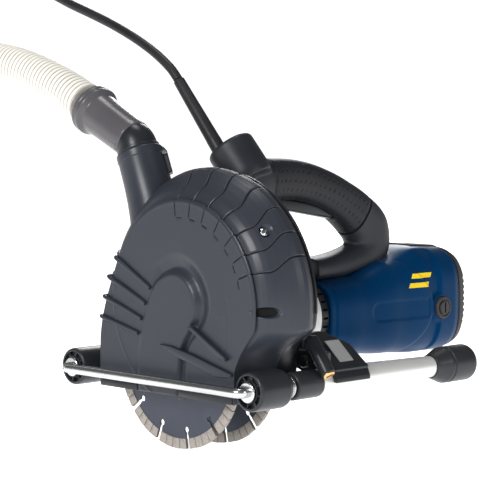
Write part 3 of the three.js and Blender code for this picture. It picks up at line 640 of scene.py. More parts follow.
def cable_tie():
    """Band that holds the turns of the coil together."""
    inner = TIE_RADIUS - 1.1
    profile = [(-2.6, inner), (-2.6, TIE_RADIUS), (2.6, TIE_RADIUS), (2.6, inner)]
    tie = lathe("cable_tie", profile, TIE, (0, 1, 0), 64, 0.3)
    for vertex in tie.data.vertices:
        across = vertex.co.x - TIE.x * MM
        up = vertex.co.z - TIE.z * MM
        vertex.co.x = TIE.x * MM + TIE_SQUEEZE * squared(across, TIE_RADIUS * MM)
        vertex.co.z = TIE.z * MM + squared(up, TIE_RADIUS * MM)
    return finish(tie, black_plastic, "carriage", "black_plastic")


def mains_cord():
    route = spaced(CORD_ROUTE + coil_route(), 5.0)
    cable = tube_mesh("mains_lead", route, lambda s: CORD_RADIUS, 16)
    cable.data.materials.append(cable_rubber)
    tie = cable_tie()
    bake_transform(cable)
    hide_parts("mains_cable", "cable_coil")


HOSE_ROUTE = [
    (42, 163, 346.5), (42, 200, 362), (42, 240, 376), (41, 285, 388), (38, 335, 394), (30, 390, 388),
    (18, 442, 366), (0, 488, 328), (-24, 524, 278), (-55, 548, 220), (-92, 560, 162), (-138, 562, 108),
    (-192, 556, 64), (-250, 546, 35), (-308, 536, 24), (-366, 526, 23.5), (-405, 520, 23.5),
]
HOSE_PITCH = 5.7
HOSE_SIDES = 40


def dust_hose():
    route = spaced(HOSE_ROUTE, HOSE_PITCH / 6)

    def reach(s):
        return 21.55 + 0.95 * math.cos(2 * math.pi * s / HOSE_PITCH)

    hose = tube_mesh("corrugated_hose", route, reach, HOSE_SIDES, 80)
    layer = hose.data.uv_layers.new(name="rings")
    step = path_length(route) / (len(route) - 1)
    for loop in hose.data.loops:
        layer.data[loop.index].uv = (loop.vertex_index // HOSE_SIDES * step / HOSE_PITCH, 0)
    finish(hose, hose_plastic, "carriage", "ivory_hose", "dust_hose")


mains_cord()
dust_hose()


# ---- hood -----------------------------------------------------------------------------------
# Radius of the hood at each X, across its rim from front to back.
RIM = [
    (0, 101.8), (0.5, 103.2), (1.4, 104.4), (2.4, 104.0), (3.2, 101.4), (4.2, 101.8), (6.5, 108),
    (10, 113), (14, 117), (21, 122.8), (28, 128), (34, 131.8), (40, 134), (45, 134.2), (50, 132.6),
    (54, 129.6), (57, 127.8), (59, 128.2), (62, 127.6), (67, 121.5), (74, 112.5), (80, 105), (87, 98),
]
GROOVES = [math.radians(a) for a in (95, 82.3, 70, 57, 44, 31, 20)]
HOOD_SCREW = (math.radians(38), 22)


def rim_radius(x):
    at = row_before(RIM, x)
    (x0, r0), (x1, r1) = RIM[at], RIM[at + 1]
    return mix(r0, r1, (x - x0) / (x1 - x0))


def on_hood(r, angle):
    """Y and Z at a radius and an angle about the hood's centre; angle 0 points to the front."""
    return (HOOD[0] - r * math.cos(angle), HOOD[1] + r * math.sin(angle))


def hood_polar(y, z):
    return math.hypot(y - HOOD[0], z - HOOD[1]), math.atan2(z - HOOD[1], -(y - HOOD[0]))


def relax(points, passes):
    for _ in range(passes):
        points = [points[0]] + [
            ((a[0] + 2 * b[0] + c[0]) / 4, (a[1] + 2 * b[1] + c[1]) / 4)
            for a, b, c in zip(points, points[1:], points[2:])
        ] + [points[-1]]
    return points


def between(a, b, count):
    return [(mix(a[0], b[0], i / count), mix(a[1], b[1], i / count)) for i in range(count)]


def hood_outline(x, inset=0.0, steps=640):
    """Open outline from the front lower corner, over the top, to the rear lower corner."""
    r = rim_radius(x) - inset
    bulge = smooth(x / 45)
    late = smooth((x - 74) / 10)
    chin = 130 + inset + 10 * late
    first = -math.asin((HOOD[1] - chin) / r)
    last = math.radians(160)
    knee = (-112 - 4 * bulge + inset + 7 * late, 104 + 3 * bulge + inset * 0.5)
    start = on_hood(r, first)
    points = between((-105 + inset, HOOD_BOTTOM), (-105 + inset, 90), 16)
    points += between((-105 + inset, 90), knee, 10)
    points += between(knee, start, 18)
    points += [on_hood(r, mix(first, last, i / steps)) for i in range(steps + 1)]
    top_y, top_z = points[-1]
    wall = 94 + 11 * bulge - inset
    for i in range(1, 73):
        t = i / 72
        points.append((top_y + (wall - top_y) * math.sin(t * math.pi / 2), mix(top_z, 98, t)))
    points += between((wall, 98), (wall, HOOD_BOTTOM), 24)[1:]
    points.append((wall, HOOD_BOTTOM))
    return relax(points, 14)


def groove_angle(start, x):
    t = x / HOOD_SPLIT_X
    return start - math.radians(1.5) * smooth(t / 0.3) + math.radians(4.5) * smooth((t - 0.26) / 0.36)


def trench(distance, half_width, depth):
    return depth * (1 - smooth(abs(distance) / half_width))


def rim_sink(x, y, z):
    """How far the rim lies below its plain surface at a point."""
    r, angle = hood_polar(y, z)
    sink = 0.0
    if x < 53:
        for start in GROOVES:
            sink = max(sink, trench(r * (angle - groove_angle(start, x)), 1.2, 1.9))
    along = abs(x - 11) / 9.5
    across = abs(r * (angle + 0.01)) / 5.6
    sink = max(sink, 9 * (1 - smooth((math.hypot(along, across) - 0.75) / 0.25)))
    seat = math.hypot((x - HOOD_SCREW[1]) / 0.75, r * (angle - HOOD_SCREW[0]))
    return max(sink, 6.5 * (1 - smooth((seat - 5.6) / 1.2)))


def segment_distance(point, a, b):
    py, pz = point[0] - a[0], point[1] - a[1]
    by, bz = b[0] - a[0], b[1] - a[1]
    t = max(0, min(1, (py * by + pz * bz) / (by * by + bz * bz)))
    return math.hypot(py - by * t, pz - bz * t)


def inside(point, polygon):
    y, z = point
    odd = False
    for (y0, z0), (y1, z1) in zip(polygon, polygon[1:] + polygon[:1]):
        if (z0 > z) != (z1 > z) and y < (y1 - y0) * (z - z0) / (z1 - z0) + y0:
            odd = not odd
    return odd


def rounder(points, passes):
    """A closed outline with its corners cut off, again and again."""
    for _ in range(passes):
        cuts = []
        for a, b in zip(points, points[1:] + points[:1]):
            cuts.append((a[0] * 0.75 + b[0] * 0.25, a[1] * 0.75 + b[1] * 0.25))
            cuts.append((a[0] * 0.25 + b[0] * 0.75, a[1] * 0.25 + b[1] * 0.75))
        points = cuts
    return points


PLATEAU = rounder([
    (35, 40), (34, 100), (27.5, 131), (14, 162), (3, 174), (-18, 182), (-38, 176), (-50, 160), (-51, 143),
    (-42, 126), (-30, 108), (-26, 90), (-24, 40)], 2)
MOAT_DEPTH = 5.5
ARROW = [(-94, 158), (-97, 140), (-96, 120), (-90, 106)]


def signed_distance(point, polygon):
    reach = min(segment_distance(point, a, b) for a, b in zip(polygon, polygon[1:] + polygon[:1]))
    return -reach if inside(point, polygon) else reach


def moat_sink(gap, y, z):
    """The wide groove over the top of the arbor housing and down its right side."""
    width = mix(12, 24, smooth((z - 108) / 40)) - 5 * smooth((y + 30) / 30) * smooth((z - 150) / 20)
    t = gap / width
    if not 0 < t < 1:
        return 0.0
    side = 1 - smooth((y - 4) / 12)
    return MOAT_DEPTH * side * smooth(t / 0.32) * (1 - smooth((t - 0.3) / 0.7))


def face_height(y, z):
    """How far the flat face stands proud at a point, in millimetres."""
    gap = signed_distance((y, z), PLATEAU)
    height = 1.3 * (1 - smooth((gap + 3) / 4)) - moat_sink(gap + 1.5, y, z)
    r, angle = hood_polar(y, z)
    if r > 80:
        for start in GROOVES:
            line = abs(r * (angle - start))
            hook = line if r > 88 else 9
            foot = math.hypot(r - 85.5, max(0, r * (angle - start) + 2.5, r * (start - angle) - 9))
            height -= trench(min(hook, foot), 1.0, 0.8)
    for a, b in zip(ARROW, ARROW[1:]):
        height -= trench(segment_distance((y, z), a, b), 0.9, 0.5)
    height -= trench(segment_distance((y, z), (-94, 160), (-87, 144)), 0.9, 0.5)
    edge = abs(r - 101)
    return height + 0.5 * (1 - smooth(edge / 2))


def hood_front():
    xs = [0, 0.4, 0.8, 1.2, 1.8, 2.4, 2.9, 3.4, 4] + [4 + 53 * i / 66 for i in range(1, 67)]
    face = hood_outline(0)
    count = len(face)
    points = []
    faces = []
    for x in xs:
        for y, z in hood_outline(x):
            reach = Vector((y - HOOD[0], z - HOOD[1]))
            sink = rim_sink(x, y, z) * smooth(x / 2.5) if z > 118 else 0.0
            place = reach * (1 - sink / reach.length)
            points.append((x, HOOD[0] + place.x, HOOD[1] + place.y))
    for i in range(len(xs) - 1):
        for j in range(count - 1):
            a = i * count + j
            faces.append((a, a + count, a + count + 1, a + 1))
    rows = 92
    corner_a, corner_b = face[-1], face[0]
    bottom = between(corner_a, corner_b, 150)[1:]
    loop = face + bottom
    centre = (-12, 132)
    rings = [list(range(count))]
    first_extra = len(points)
    points += [(0, y, z) for y, z in bottom]
    rings[0] += list(range(first_extra, len(points)))
    for k in range(1, rows):
        f = 1 - (k / rows) ** 1.04
        ring = []
        for y, z in loop:
            py = mix(centre[0], y, f)
            pz = mix(centre[1], z, f)
            ring.append(len(points))
            points.append((-face_height(py, pz) * smooth(k / 2), py, pz))
        rings.append(ring)
    for outer, inner in zip(rings, rings[1:]):
        for j in range(len(loop)):
            k = (j + 1) % len(loop)
            faces.append((outer[j], outer[k], inner[k], inner[j]))
    points.append((-face_height(*centre), *centre))
    last = rings[-1]
    for j in range(len(loop)):
        faces.append((last[j], last[(j + 1) % len(loop)], len(points) - 1))
    shell = make("hood_cover", points, faces, 60)
    thicken(shell)
    finish(shell, hood_plastic, "carriage", "hood_plastic", "hood_front_cover")


def hood_rear():
    start = HOOD_SPLIT_X + 0.3
    xs = [start + (HOOD_BACK_X - start) * i / 20 for i in range(21)]
    rings = []
    for x in xs:
        ring = hood_outline(x, 0, 220)
        inset = 1.1 * (1 - smooth((HOOD_BACK_X - x) / 1.6))
        rings.append([(x, y - inset * (1 if y > 0 else -1) * 0.4, z - inset * 0.4) for y, z in ring])
    count = len(rings[0])
    points = [p for ring in rings for p in ring]
    faces = []
    for i in range(len(rings) - 1):
        for j in range(count - 1):
            a = i * count + j
            faces.append((a, a + 1, a + count + 1, a + count))
    base = (len(rings) - 1) * count
    points.append((HOOD_BACK_X, -10, 150))
    for j in range(count - 1):
        faces.append((base + j, base + j + 1, len(points) - 1))
    faces.append((base + count - 1, base, len(points) - 1))
    shell = make("hood_back", points, faces, 40)
    thicken(shell)
    apply_modifiers(shell)
    cut(shell, [extrude("slot", spindle_slot(21.5), 76, 96, on_yz)])
    finish(shell, black_plastic, "carriage", "black_plastic", "hood_rear_shell")


def parting_lip():
    """The raised edge where the hood's halves meet, over the part of the rim that shows."""
    profile = [(56.6, 129.6), (56.6, 131.2), (58.8, 131.2), (58.8, 129.6)]
    lip = lathe("parting_lip", profile, (0, *HOOD), (1, 0, 0), 300, 0.4)
    work = bmesh.new()
    work.from_mesh(lip.data)
    doomed = []
    for vertex in work.verts:
        angle = hood_polar(vertex.co.y / MM, vertex.co.z / MM)[1]
        if not -2 < math.degrees(angle) < 118:
            doomed.append(vertex)
    bmesh.ops.delete(work, geom=doomed, context="VERTS")
    work.to_mesh(lip.data)
    work.free()
    finish(lip, black_plastic, "carriage", "black_plastic")


def spindle_slot(radius):
    """Outline swept by a circle that swings about the front axle."""
    axle = (-AXLE_Y, AXLE_Z)
    dy = SPINDLE[0] + AXLE_Y
    dz = SPINDLE[1] - AXLE_Z
    swing = math.hypot(dy, dz)
    low = math.atan2(dz, dy)
    high = low + PLUNGE
    top = arc(axle, swing, high, 0, 1)[0]
    points = arc(axle, swing + radius, low, PLUNGE)
    points += arc(top, radius, high, math.pi)[1:-1]
    points += arc(axle, swing - radius, high, -PLUNGE)
    points += arc(SPINDLE, radius, low + math.pi, math.pi)[1:-1]
    return points


def notch_floor():
    """Near-black floor of the oval recess on the rim's front side: painted shade in the recess."""
    ring = [(11 + 7.6 * c, 4.3 * s) for c, s in arc((0, 0), 1, 0, 2 * math.pi, 48)[:-1]]

    def place(a, b, height):
        return (a, HOOD[0] - rim_radius(a) + height, HOOD[1] + b - 1)

    finish(extrude("notch_floor", ring, 4.2, 5.4, place), painted_shade_and_carbon, "carriage", "hood_plastic")


def flank_y(x, z):
    """Rear edge of the hood outline at one height."""
    r = rim_radius(x)
    top_y = HOOD[0] + r * math.cos(math.radians(20))
    top_z = HOOD[1] + r * math.sin(math.radians(20))
    if z > top_z:
        return HOOD[0] + math.sqrt(r * r - (z - HOOD[1]) ** 2)
    wall = 94 + 11 * smooth(x / 45)
    return top_y + (wall - top_y) * math.sin((top_z - z) / (top_z - 98) * math.pi / 2)


def ribbon(first, pairs):
    """Faces of a strip whose points come in pairs."""
    starts = range(first, first + 2 * (pairs - 1), 2)
    return [(i, i + 1, i + 3, i + 2) for i in starts]


def rim_line(start):
    """Bottom of one groove over the rim, as pairs of points."""
    points = []
    for i in range(61):
        x = 0.6 + (50 - 0.6) * i / 60
        r = rim_radius(x) - 0.9 * smooth(x / 5)
        for side in (-0.42, 0.42):
            points.append((x, *on_hood(r, groove_angle(start, x) + side / r)))
    return points


def face_hook(start):
    """The groove's straight end and its hook on the face, as pairs of points."""
    spots = [(101.4 - 13 * i / 12, 0.0, 0.0) for i in range(13)]
    spots += [(88.4 - 3 * math.sin(a), -3 + 3 * math.cos(a), a) for a in (0.3, 0.6, 0.9, 1.2, 1.57)]
    spots += [(85.4, -3.0 - i, 1.57) for i in range(1, 7)]
    points = []
    for r, drift, turn in spots:
        angle = start + drift / r
        outward = Vector((-math.cos(angle), math.sin(angle)))
        around = Vector((math.sin(angle), math.cos(angle)))
        across = (around * math.cos(turn) + outward * math.sin(turn)) * 0.3
        centre = Vector(HOOD) + outward * r
        points += [(-0.14, *(centre + across * side)) for side in (-1, 1)]
    return points


def groove_lines():
    """Near-black strips along the bottoms of the grooves over the rim and their hooks on the face: painted
    shade in the grooves.
    """
    points = []
    faces = []
    for start in GROOVES:
        for line in (rim_line(start), face_hook(start)):
            faces += ribbon(len(points), len(line) // 2)
            points += line
    finish(make("groove_bottoms", points, faces), painted_shade_and_carbon, "carriage", "hood_plastic")


def hood_ribs():
    outer = [(67, 191), (78, 171), (85, 150), (90, 129)]
    inner = [(14, 163), (21, 147), (27, 131), (32, 116)]
    bars = []
    for number, (a, b) in enumerate(zip(outer, inner)):
        middle = (mix(a[0], b[0], 0.5), mix(a[1], b[1], 0.5))
        route = [(-1.2, b[0] + 1, b[1]), (-1.7, *middle), (-1.8, *a)]
        drop = (a[1] - b[1]) / (a[0] - b[0])
        for x in (1.2, 5, 9, 13, 17):
            z = a[1] + drop * 0.5 * x
            route.append((x, flank_y(x, z) + 1.2 - 0.05 * x, z))
        bars.append(tube_mesh(f"face_rib_{number}", spaced(route, 1.2), lambda s: 2.0, 20))
    fin = [(-43, 128.5), (-50, 129), (-97, 103), (-97, 99.5), (-86, 103)]
    bars.append(extrude("face_fin", fin, -5.5, 1, on_yz, 0.8))
    wedge = [(-1, 108), (-17, 107.5), (-48, 101.5), (-104, 87.5), (-104, 84.5), (-82, 83.5), (-27, 97.4)]
    bars.append(extrude("face_wedge", wedge, -4.5, 1, on_yz, 0.9))
    ribs = join("face_ribs", bars)
    finish(ribs, hood_plastic, "carriage", "hood_plastic")
    lips = [block("lip", (-0.9, 36, HOOD_BOTTOM), (1, 92, 64), 0.5),
            block("lip", (-0.9, -103, HOOD_BOTTOM), (1, -26, 65), 0.5)]
    finish(join("face_lips", lips), black_plastic, "carriage", "hood_plastic")


def port_frame():
    side = PORT_DIR.cross(Vector((1, 0, 0)))
    outward = (Vector((0.72, 0, 0)) - side * 0.69).normalized()
    across = PORT_DIR.cross(outward)
    return outward, across


def hood_port():
    profile = [
        (-84, 31), (-70, 28), (-52, 25.8), (-34, 24.6), (-9, 24), (-8.4, 24.6), (-1.2, 24.4), (0, 23.4),
        (0, 19.2), (-8, 18.9), (-84, 18.9),
    ]
    port = lathe("dust_port", profile, PORT_TOP, PORT_DIR, 128, 0.8, 50)
    outward, across = port_frame()
    origin = PORT_TOP - PORT_DIR * 32

    def place(a, b, height):
        return tuple(origin + outward * a + PORT_DIR * b + across * height)

    ear = extrude("port_ear", [(19, 0), (28.2, 0), (28.2, 24), (25, 30), (19, 30)], -6, 6, place, 1.6)
    # The slit beside the ear is a thin near-black sheet: painted shade in the gap.
    slit = extrude("port_slit", [(18, -2), (23.4, -2), (23.4, 31), (18, 31)], -7.4, -6.2, place, 0.2)
    finish(port, hood_plastic, "carriage", "hood_plastic")
    finish(ear, hood_plastic, "carriage", "hood_plastic")
    finish(slit, painted_shade_and_carbon, "carriage", "black_plastic")


hood_front()
hood_rear()
parting_lip()
hood_ribs()
groove_lines()
notch_floor()
hood_port()


# ---- dust elbow and cuff --------------------------------------------------------------------
def elbow():
    start = PORT_TOP + PORT_DIR * 0.5
    a = PORT_TOP + PORT_DIR * 6
    b = CUFF_START - CUFF_DIR * 5
    rings = []
    steps = 40
    for i in range(steps + 1):
        t = i / steps
        u = 1 - t
        centre = start * u ** 3 + a * 3 * u * u * t + b * 3 * u * t * t + CUFF_START * t ** 3
        turn = ((a - start) * 3 * u * u + (b - a) * 6 * u * t + (CUFF_START - b) * 3 * t * t).normalized()
        across = Vector((1, 0, 0))
        r = mix(21.2, 19.9, t) + (0.5 if i == 0 else 0)
        rings.append(ring_around(centre, across, turn.cross(across).normalized(), r, 96))
    bend = rings_mesh("elbow_bend", rings, sharp=50)
    collar = lathe("elbow_collar", [(-1.5, 0), (-1.5, 22.4), (1.8, 22.4), (2.4, 20), (2.4, 0)],
                   PORT_TOP + PORT_DIR * 1.7, PORT_DIR, 96, 0.6)
    nose = lathe("elbow_nose", [(-0.5, 0), (-0.5, 16.4), (12, 16.4), (12, 0)], CUFF_START, CUFF_DIR, 64, 0.5)
    finish(join("bent_elbow", [bend, collar, nose]), black_plastic, "carriage", "black_plastic", "dust_elbow")


def cuff():
    profile = [
        (0.3, 17), (0.3, 20.0), (1.2, 20.6), (6, 21.2), (40, 21.8), (60, 22.6), (63.5, 25), (65, 26.6),
        (67, 27), (70, 26.2), (71.5, 26.8), (74.5, 26.8), (76, 25.2), (76, 20.4), (22, 19.5), (16, 17),
    ]
    piece = lathe("swivel_cuff_shell", profile, CUFF_START, CUFF_DIR, 128, 0.9, 50)
    finish(piece, gloss_black, "swivel_cuff", "black_plastic", "hose_cuff")


elbow()
cuff()


# ---- running gear ---------------------------------------------------------------------------
def hub_spokes(x0, x1, y, inner, outer, count=8):
    outline = [(inner, -0.7), (outer, -0.7), (outer, 0.7), (inner, 0.7)]
    spokes = []
    for i in range(count):
        place = turned_about(y, AXLE_Z, 2 * math.pi * i / count + 0.2)
        spokes.append(extrude("spoke", outline, x0, x1, place, 0.2))
    return spokes


def rollers():
    left = [
        (-1, 6.4), (-1, 10), (-5.6, 10), (-5.6, 11.2), (-0.8, 11.2), (-0.8, 15.8), (-6, 15.8), (-6, 17.6),
        (-5, 18.8), (-3, ROLLER_R), (6, ROLLER_R + 0.15), (33, ROLLER_R), (36, 18.2), (42.6, 13), (42.6, 6.4),
    ]
    right = [
        (259.4, 6.4), (259.4, 12.6), (262, 13.2), (277, ROLLER_R - 0.2), (279.2, ROLLER_R), (280.0, 17.9),
        (281.6, 17.9), (282.4, ROLLER_R), (313, ROLLER_R), (316, 18), (317, 16), (317, 13.5), (313.2, 12.6),
        (313.2, 7), (313.2, 0),
    ]
    for side, y in (("front", -AXLE_Y), ("rear", AXLE_Y)):
        wheel = lathe(f"{side}_left_wheel", left, (0, y, AXLE_Z), (1, 0, 0), 96, 0.6)
        wheel = join(f"{side}_left_wheel", [wheel] + hub_spokes(-4.6, -0.6, y, 10.8, 16))
        finish(wheel, roller_plastic, f"{side}_left_roller", "black_plastic", f"roller_{side}_left")
        wheel = lathe(f"{side}_right_wheel", right, (0, y, AXLE_Z), (1, 0, 0), 96, 0.6)
        finish(wheel, roller_plastic, f"{side}_right_roller", "black_plastic", f"roller_{side}_right")


def tubes():
    for side, y in (("front", -AXLE_Y), ("rear", AXLE_Y)):
        profile = [(86.3, 6.4), (86.3, 13.6), (151, 13.6), (258.7, 11.2), (258.7, 6.4)]
        pipe = lathe(f"{side}_pipe", profile, (0, y, AXLE_Z), (1, 0, 0), 128, 0.5)
        finish(pipe, satin_tube, "carriage", "satin_aluminium", f"{side}_axle_tube")
        disc = lathe(f"{side}_washer_disc", [(-9, 0), (-9, 9.2), (-8.2, 10.2), (-6.4, 10.2), (-6.4, 0)],
                     (0, y, AXLE_Z), (1, 0, 0), 96, 0.5)
        finish(disc, zinc, "carriage", "zinc_steel", f"{side}_washer")
        spring = [(43.3, 6.4), (43.3, 11.5), (45.2, 11.5), (45.4, 10.4), (46.2, 10.4), (46.4, 11.5),
                  (48, 11.5), (48, 6.4)]
        ring = lathe(f"{side}_spring_ring", spring, (0, y, AXLE_Z), (1, 0, 0), 96, 0.3)
        finish(ring, zinc, "carriage", "zinc_steel", f"{side}_spacer_ring")
        profile = [(50, 6.4), (50, 12.6), (51.4, 14), (84.6, 14), (86, 12.8), (86, 6.4)]
        sleeve = lathe(f"{side}_sleeve", profile, (0, y, AXLE_Z), (1, 0, 0), 96, 0.6)
        toward = (y + 8, -104.7) if y < 0 else (104.7, y - 8)
        web = block("web", (58, toward[0], 63), (80, toward[1], 82), 2.2)
        bracket = join(f"{side}_sleeve_bracket", [sleeve, web])
        finish(bracket, roller_plastic, "carriage", "black_plastic", f"{side}_axle_bracket")


def tie_rod():
    x = -18
    route = [(-9.4, -AXLE_Y, AXLE_Z), (-11.8, -AXLE_Y, AXLE_Z), (-15.5, -AXLE_Y + 1.6, AXLE_Z),
             (x, -AXLE_Y + 7, AXLE_Z), (x, -AXLE_Y + 40, AXLE_Z), (x, 0, AXLE_Z)]
    route += [(px, -py, pz) for px, py, pz in reversed(route[:5])]
    bar = tube_mesh("cross_bar", spaced(route, 1.6), lambda s: 4.9, 48)
    finish(bar, zinc, "carriage", "zinc_steel", "tie_rod")


rollers()
tubes()
tie_rod()


# ---- blades ---------------------------------------------------------------------------------
BLADE_R = 90
CORE_RIM = 81.2
GULLET = (73.2, 70.4, 3.1)     # foot of the slot, centre and radius of its round end
SLOT_HALF = 1.3
SEGMENTS = 12
PITCH = 2 * math.pi / SEGMENTS
FACETS = 4


def about_spindle(spots):
    return [(SPINDLE[0] + r * math.cos(a), SPINDLE[1] + r * math.sin(a)) for r, a in spots]


def core_outline(phase):
    """Rim of the steel core, with a keyhole slot before each segment."""
    foot, centre, bulb = GULLET
    mouth = 2 * SLOT_HALF / CORE_RIM
    spots = []
    for i in range(SEGMENTS):
        middle = phase + i * PITCH
        spots += [(CORE_RIM, middle - mouth), (foot, middle - SLOT_HALF / foot)]
        for k in range(1, 12):
            angle = math.pi * (0.13 + 1.74 * k / 12)
            spots.append((centre + bulb * math.cos(angle), middle - bulb * math.sin(angle) / centre))
        spots += [(foot, middle + SLOT_HALF / foot), (CORE_RIM, middle + mouth)]
        spots += [(CORE_RIM, middle + mouth + (PITCH - 2 * mouth) * k / 10) for k in range(1, 10)]
    return about_spindle(spots)


def teeth_on(x, start, width):
    """The facets of one segment; the outer two are ground a little lower."""
    foot = CORE_RIM - 2
    teeth = []
    for k in range(FACETS):
        a0 = start + width * k + 0.0045
        a1 = start + width * (k + 1) - 0.0045
        middle = (a0 + a1) / 2
        top = BLADE_R - (0.35 if k in (0, FACETS - 1) else 0)
        spots = [(foot, a0), (top, a0), (top, middle), (top, a1), (foot, a1), (foot, middle)]
        teeth.append(extrude("tooth", about_spindle(spots), x - 1.75, x + 1.75, on_yz, 0.25))
    return teeth


def root_of(x, start, end):
    foot = CORE_RIM - 1.6
    top = BLADE_R - 0.9
    spots = [(foot, start)] + [(top, mix(start, end, j / 6)) for j in range(7)]
    spots += [(foot, mix(end, start, j / 6)) for j in range(6)]
    return extrude("base", about_spindle(spots), x - 1.2, x + 1.2, on_yz, 0.1)


def blade(name, x, phase, node):
    core = extrude(name, core_outline(phase), x - 1.0, x + 1.0, on_yz)
    apply_modifiers(core)
    core = cut(core, [rod("hole", x - 5, x + 5, 11.4, *SPINDLE, radius=0)])
    soften(core, 0.2, 2)
    finish(core, blade_core, "spindle", "blade_steel", node)
    teeth = []
    roots = []
    for i in range(SEGMENTS):
        start = phase + i * PITCH + 0.025
        width = (PITCH - 0.05) / FACETS
        teeth += teeth_on(x, start, width)
        roots.append(root_of(x, start, start + FACETS * width))
    finish(join(name + "_segments", teeth), segments, "spindle", "blade_steel")
    # The filler shows only in the slits between the facets; its dark brown is painted shade.
    finish(join(name + "_segment_roots", roots), facet_slit_shade, "spindle", "blade_steel")


blade("front_disc", 20, 0.36, "blade_front")
blade("rear_disc", 72, 0.344, "blade_rear")


# ---- motor ----------------------------------------------------------------------------------
HOUSING = [(198, 80, 160, 44), (245, 77, 162, 46), (300, 73, 177, 50), (350, 70, 190, 53),
           (388, 70, 188, 53), (398, 72, 185.5, 51.6)]
AIR_SLOTS = 28
CAP = [(398.3, 72, 187, 52), (405, 74, 184, 51), (412, 80, 178, 47), (417, 86, 172, 43), (421, 92, 165, 38)]


def interpolate(table, x):
    i = row_before(table, x)
    t = smooth((x - table[i][0]) / (table[i + 1][0] - table[i][0]))
    return [mix(a, b, t) for a, b in zip(table[i][1:], table[i + 1][1:])]


def section(x, bottom, top, half, inset=0.0, count=160, power=3.2):
    middle = (bottom + top) / 2
    ring = []
    for i in range(count):
        angle = 2 * math.pi * i / count
        c, s = math.cos(angle), math.sin(angle)
        reach = squircle(c, s, power)
        ring.append(Vector((x, MOTOR[0] + reach * c * (half - inset),
                            middle + reach * s * ((top - bottom) / 2 - inset))))
    return ring


def side_sink(x, z):
    """Sunk channel behind the front panel, and the shallow rounded field on it."""
    left = 352 - 0.0148 * (z - 124) ** 2
    channel = smooth((x - left) / 1.6) * (1 - smooth((x - 363) / 3))
    boss = smooth((math.hypot(x - BRUSH_X, z - MOTOR[1]) - 15) / 3)
    field = math.hypot(max(0, 270 - x, x - 345), max(0, abs(z - 123.5) - 0.01))
    sink = 3.4 * channel * boss
    sink += 0.7 * (1 - smooth((field - 10) / 1.2)) * (1 if x < 346 else 0)
    return sink


def motor_housing():
    rings = []
    xs = [198, 198.6, 199.4] + [200 + 197 * i / 130 for i in range(131)] + [397.6, 398]
    for x in xs:
        edge = 1.0 * (1 - smooth((x - 198) / 1.6)) + 1.0 * smooth((x - 396.6) / 1.4)
        step = 0.8 * (1 - smooth((x - 206) / 1.0)) if x > 199 else 0.8
        ring = section(x, *interpolate(HOUSING, x), edge + step, 220)
        for point in ring:
            side = 1 if point.y > MOTOR[0] else -1
            flat = smooth((abs(point.y - MOTOR[0]) - 26) / 12)
            point.y -= side * side_sink(x, point.z) * flat
        rings.append(ring)
    body = rings_mesh("motor_case", rings, sharp=50)
    tools = []
    for side in (-1, 1):
        tools.append(lathe("hole", [(0, 0), (0, 12.6), (11, 12.6), (11, 0)],
                           (BRUSH_X, MOTOR[0] + side * 62, MOTOR[1]), (0, -side, 0), 96, 0))
    cut(body, tools, sharp=50)
    finish(body, blue_plastic, "motor_unit", "blue_plastic", "motor_housing")


def end_cap():
    xs = [398.3, 399, 400] + [401 + 19 * i / 16 for i in range(17)] + [420.6, 421]
    rings = []
    for x in xs:
        crown = 1.2 * smooth((x - 419.4) / 1.6) + 0.6 * (1 - smooth((x - 398.3) / 1.2))
        rings.append(section(x, *interpolate(CAP, x), crown, 200))
    cap = rings_mesh("rear_cap", rings, sharp=50)
    tools = []
    for i in range(9):
        z = 97 + i * 6.6
        tools.append(block("slot", (409, MOTOR[0] - 60, z), (430, MOTOR[0] + 60, z + 3.4)))
    cut(cap, tools)
    finish(cap, grey_plastic, "motor_unit", "grey_plastic", "motor_end_cap")
    crown = [(x, interpolate(HOUSING, x)[1] + 1.3) for x in range(352, 400, 3)]
    under = [(x, z - 6) for x, z in reversed(crown)]
    lip = extrude("cap_lip", crown + under, -24, 14, on_xz, 0.8)
    finish(lip, grey_plastic, "motor_unit", "grey_plastic")


def brush_caps():
    for side, label in ((-1, "near"), (1, "far")):
        base = MOTOR[0] + side * 45.6
        cap = lathe(f"brush_plug_{label}", [
            (3, 0), (3, 12.2), (9.4, 12.2), (10.6, 11.4), (10.6, 9.6), (9.2, 9.4), (9.2, 7.6), (11.6, 7.4),
            (12, 6.8), (12, 0)], (BRUSH_X, base, MOTOR[1]), (0, side, 0), 96, 0.3)
        low, high = (-15, -9) if side < 0 else (7, 15)
        slot = block("slot", (BRUSH_X - 1.1, base + low, MOTOR[1] - 6),
                     (BRUSH_X + 1.1, base + high, MOTOR[1] + 6))
        cut(cap, [slot])
        finish(cap, grey_plastic, "motor_unit", "grey_plastic", f"brush_cap_{label}")


def air_ring():
    profile = [(186.3, 32), (186.3, 39.6), (187.4, 40.4), (196.8, 40.4), (197.7, 39.6), (197.7, 32)]
    ring = lathe("slotted_ring", profile, (0, *MOTOR), (1, 0, 0), 128, 0.4)
    outline = [(36, -1.3), (44, -1.3), (44, 1.3), (36, 1.3)]
    tools = []
    for i in range(AIR_SLOTS):
        place = turned_about(*MOTOR, 2 * math.pi * i / AIR_SLOTS)
        tools.append(extrude("slot", outline, 188.6, 195.6, place))
    cut(ring, [join("slots", tools)])
    finish(ring, black_plastic, "motor_unit", "black_plastic", "air_ring")


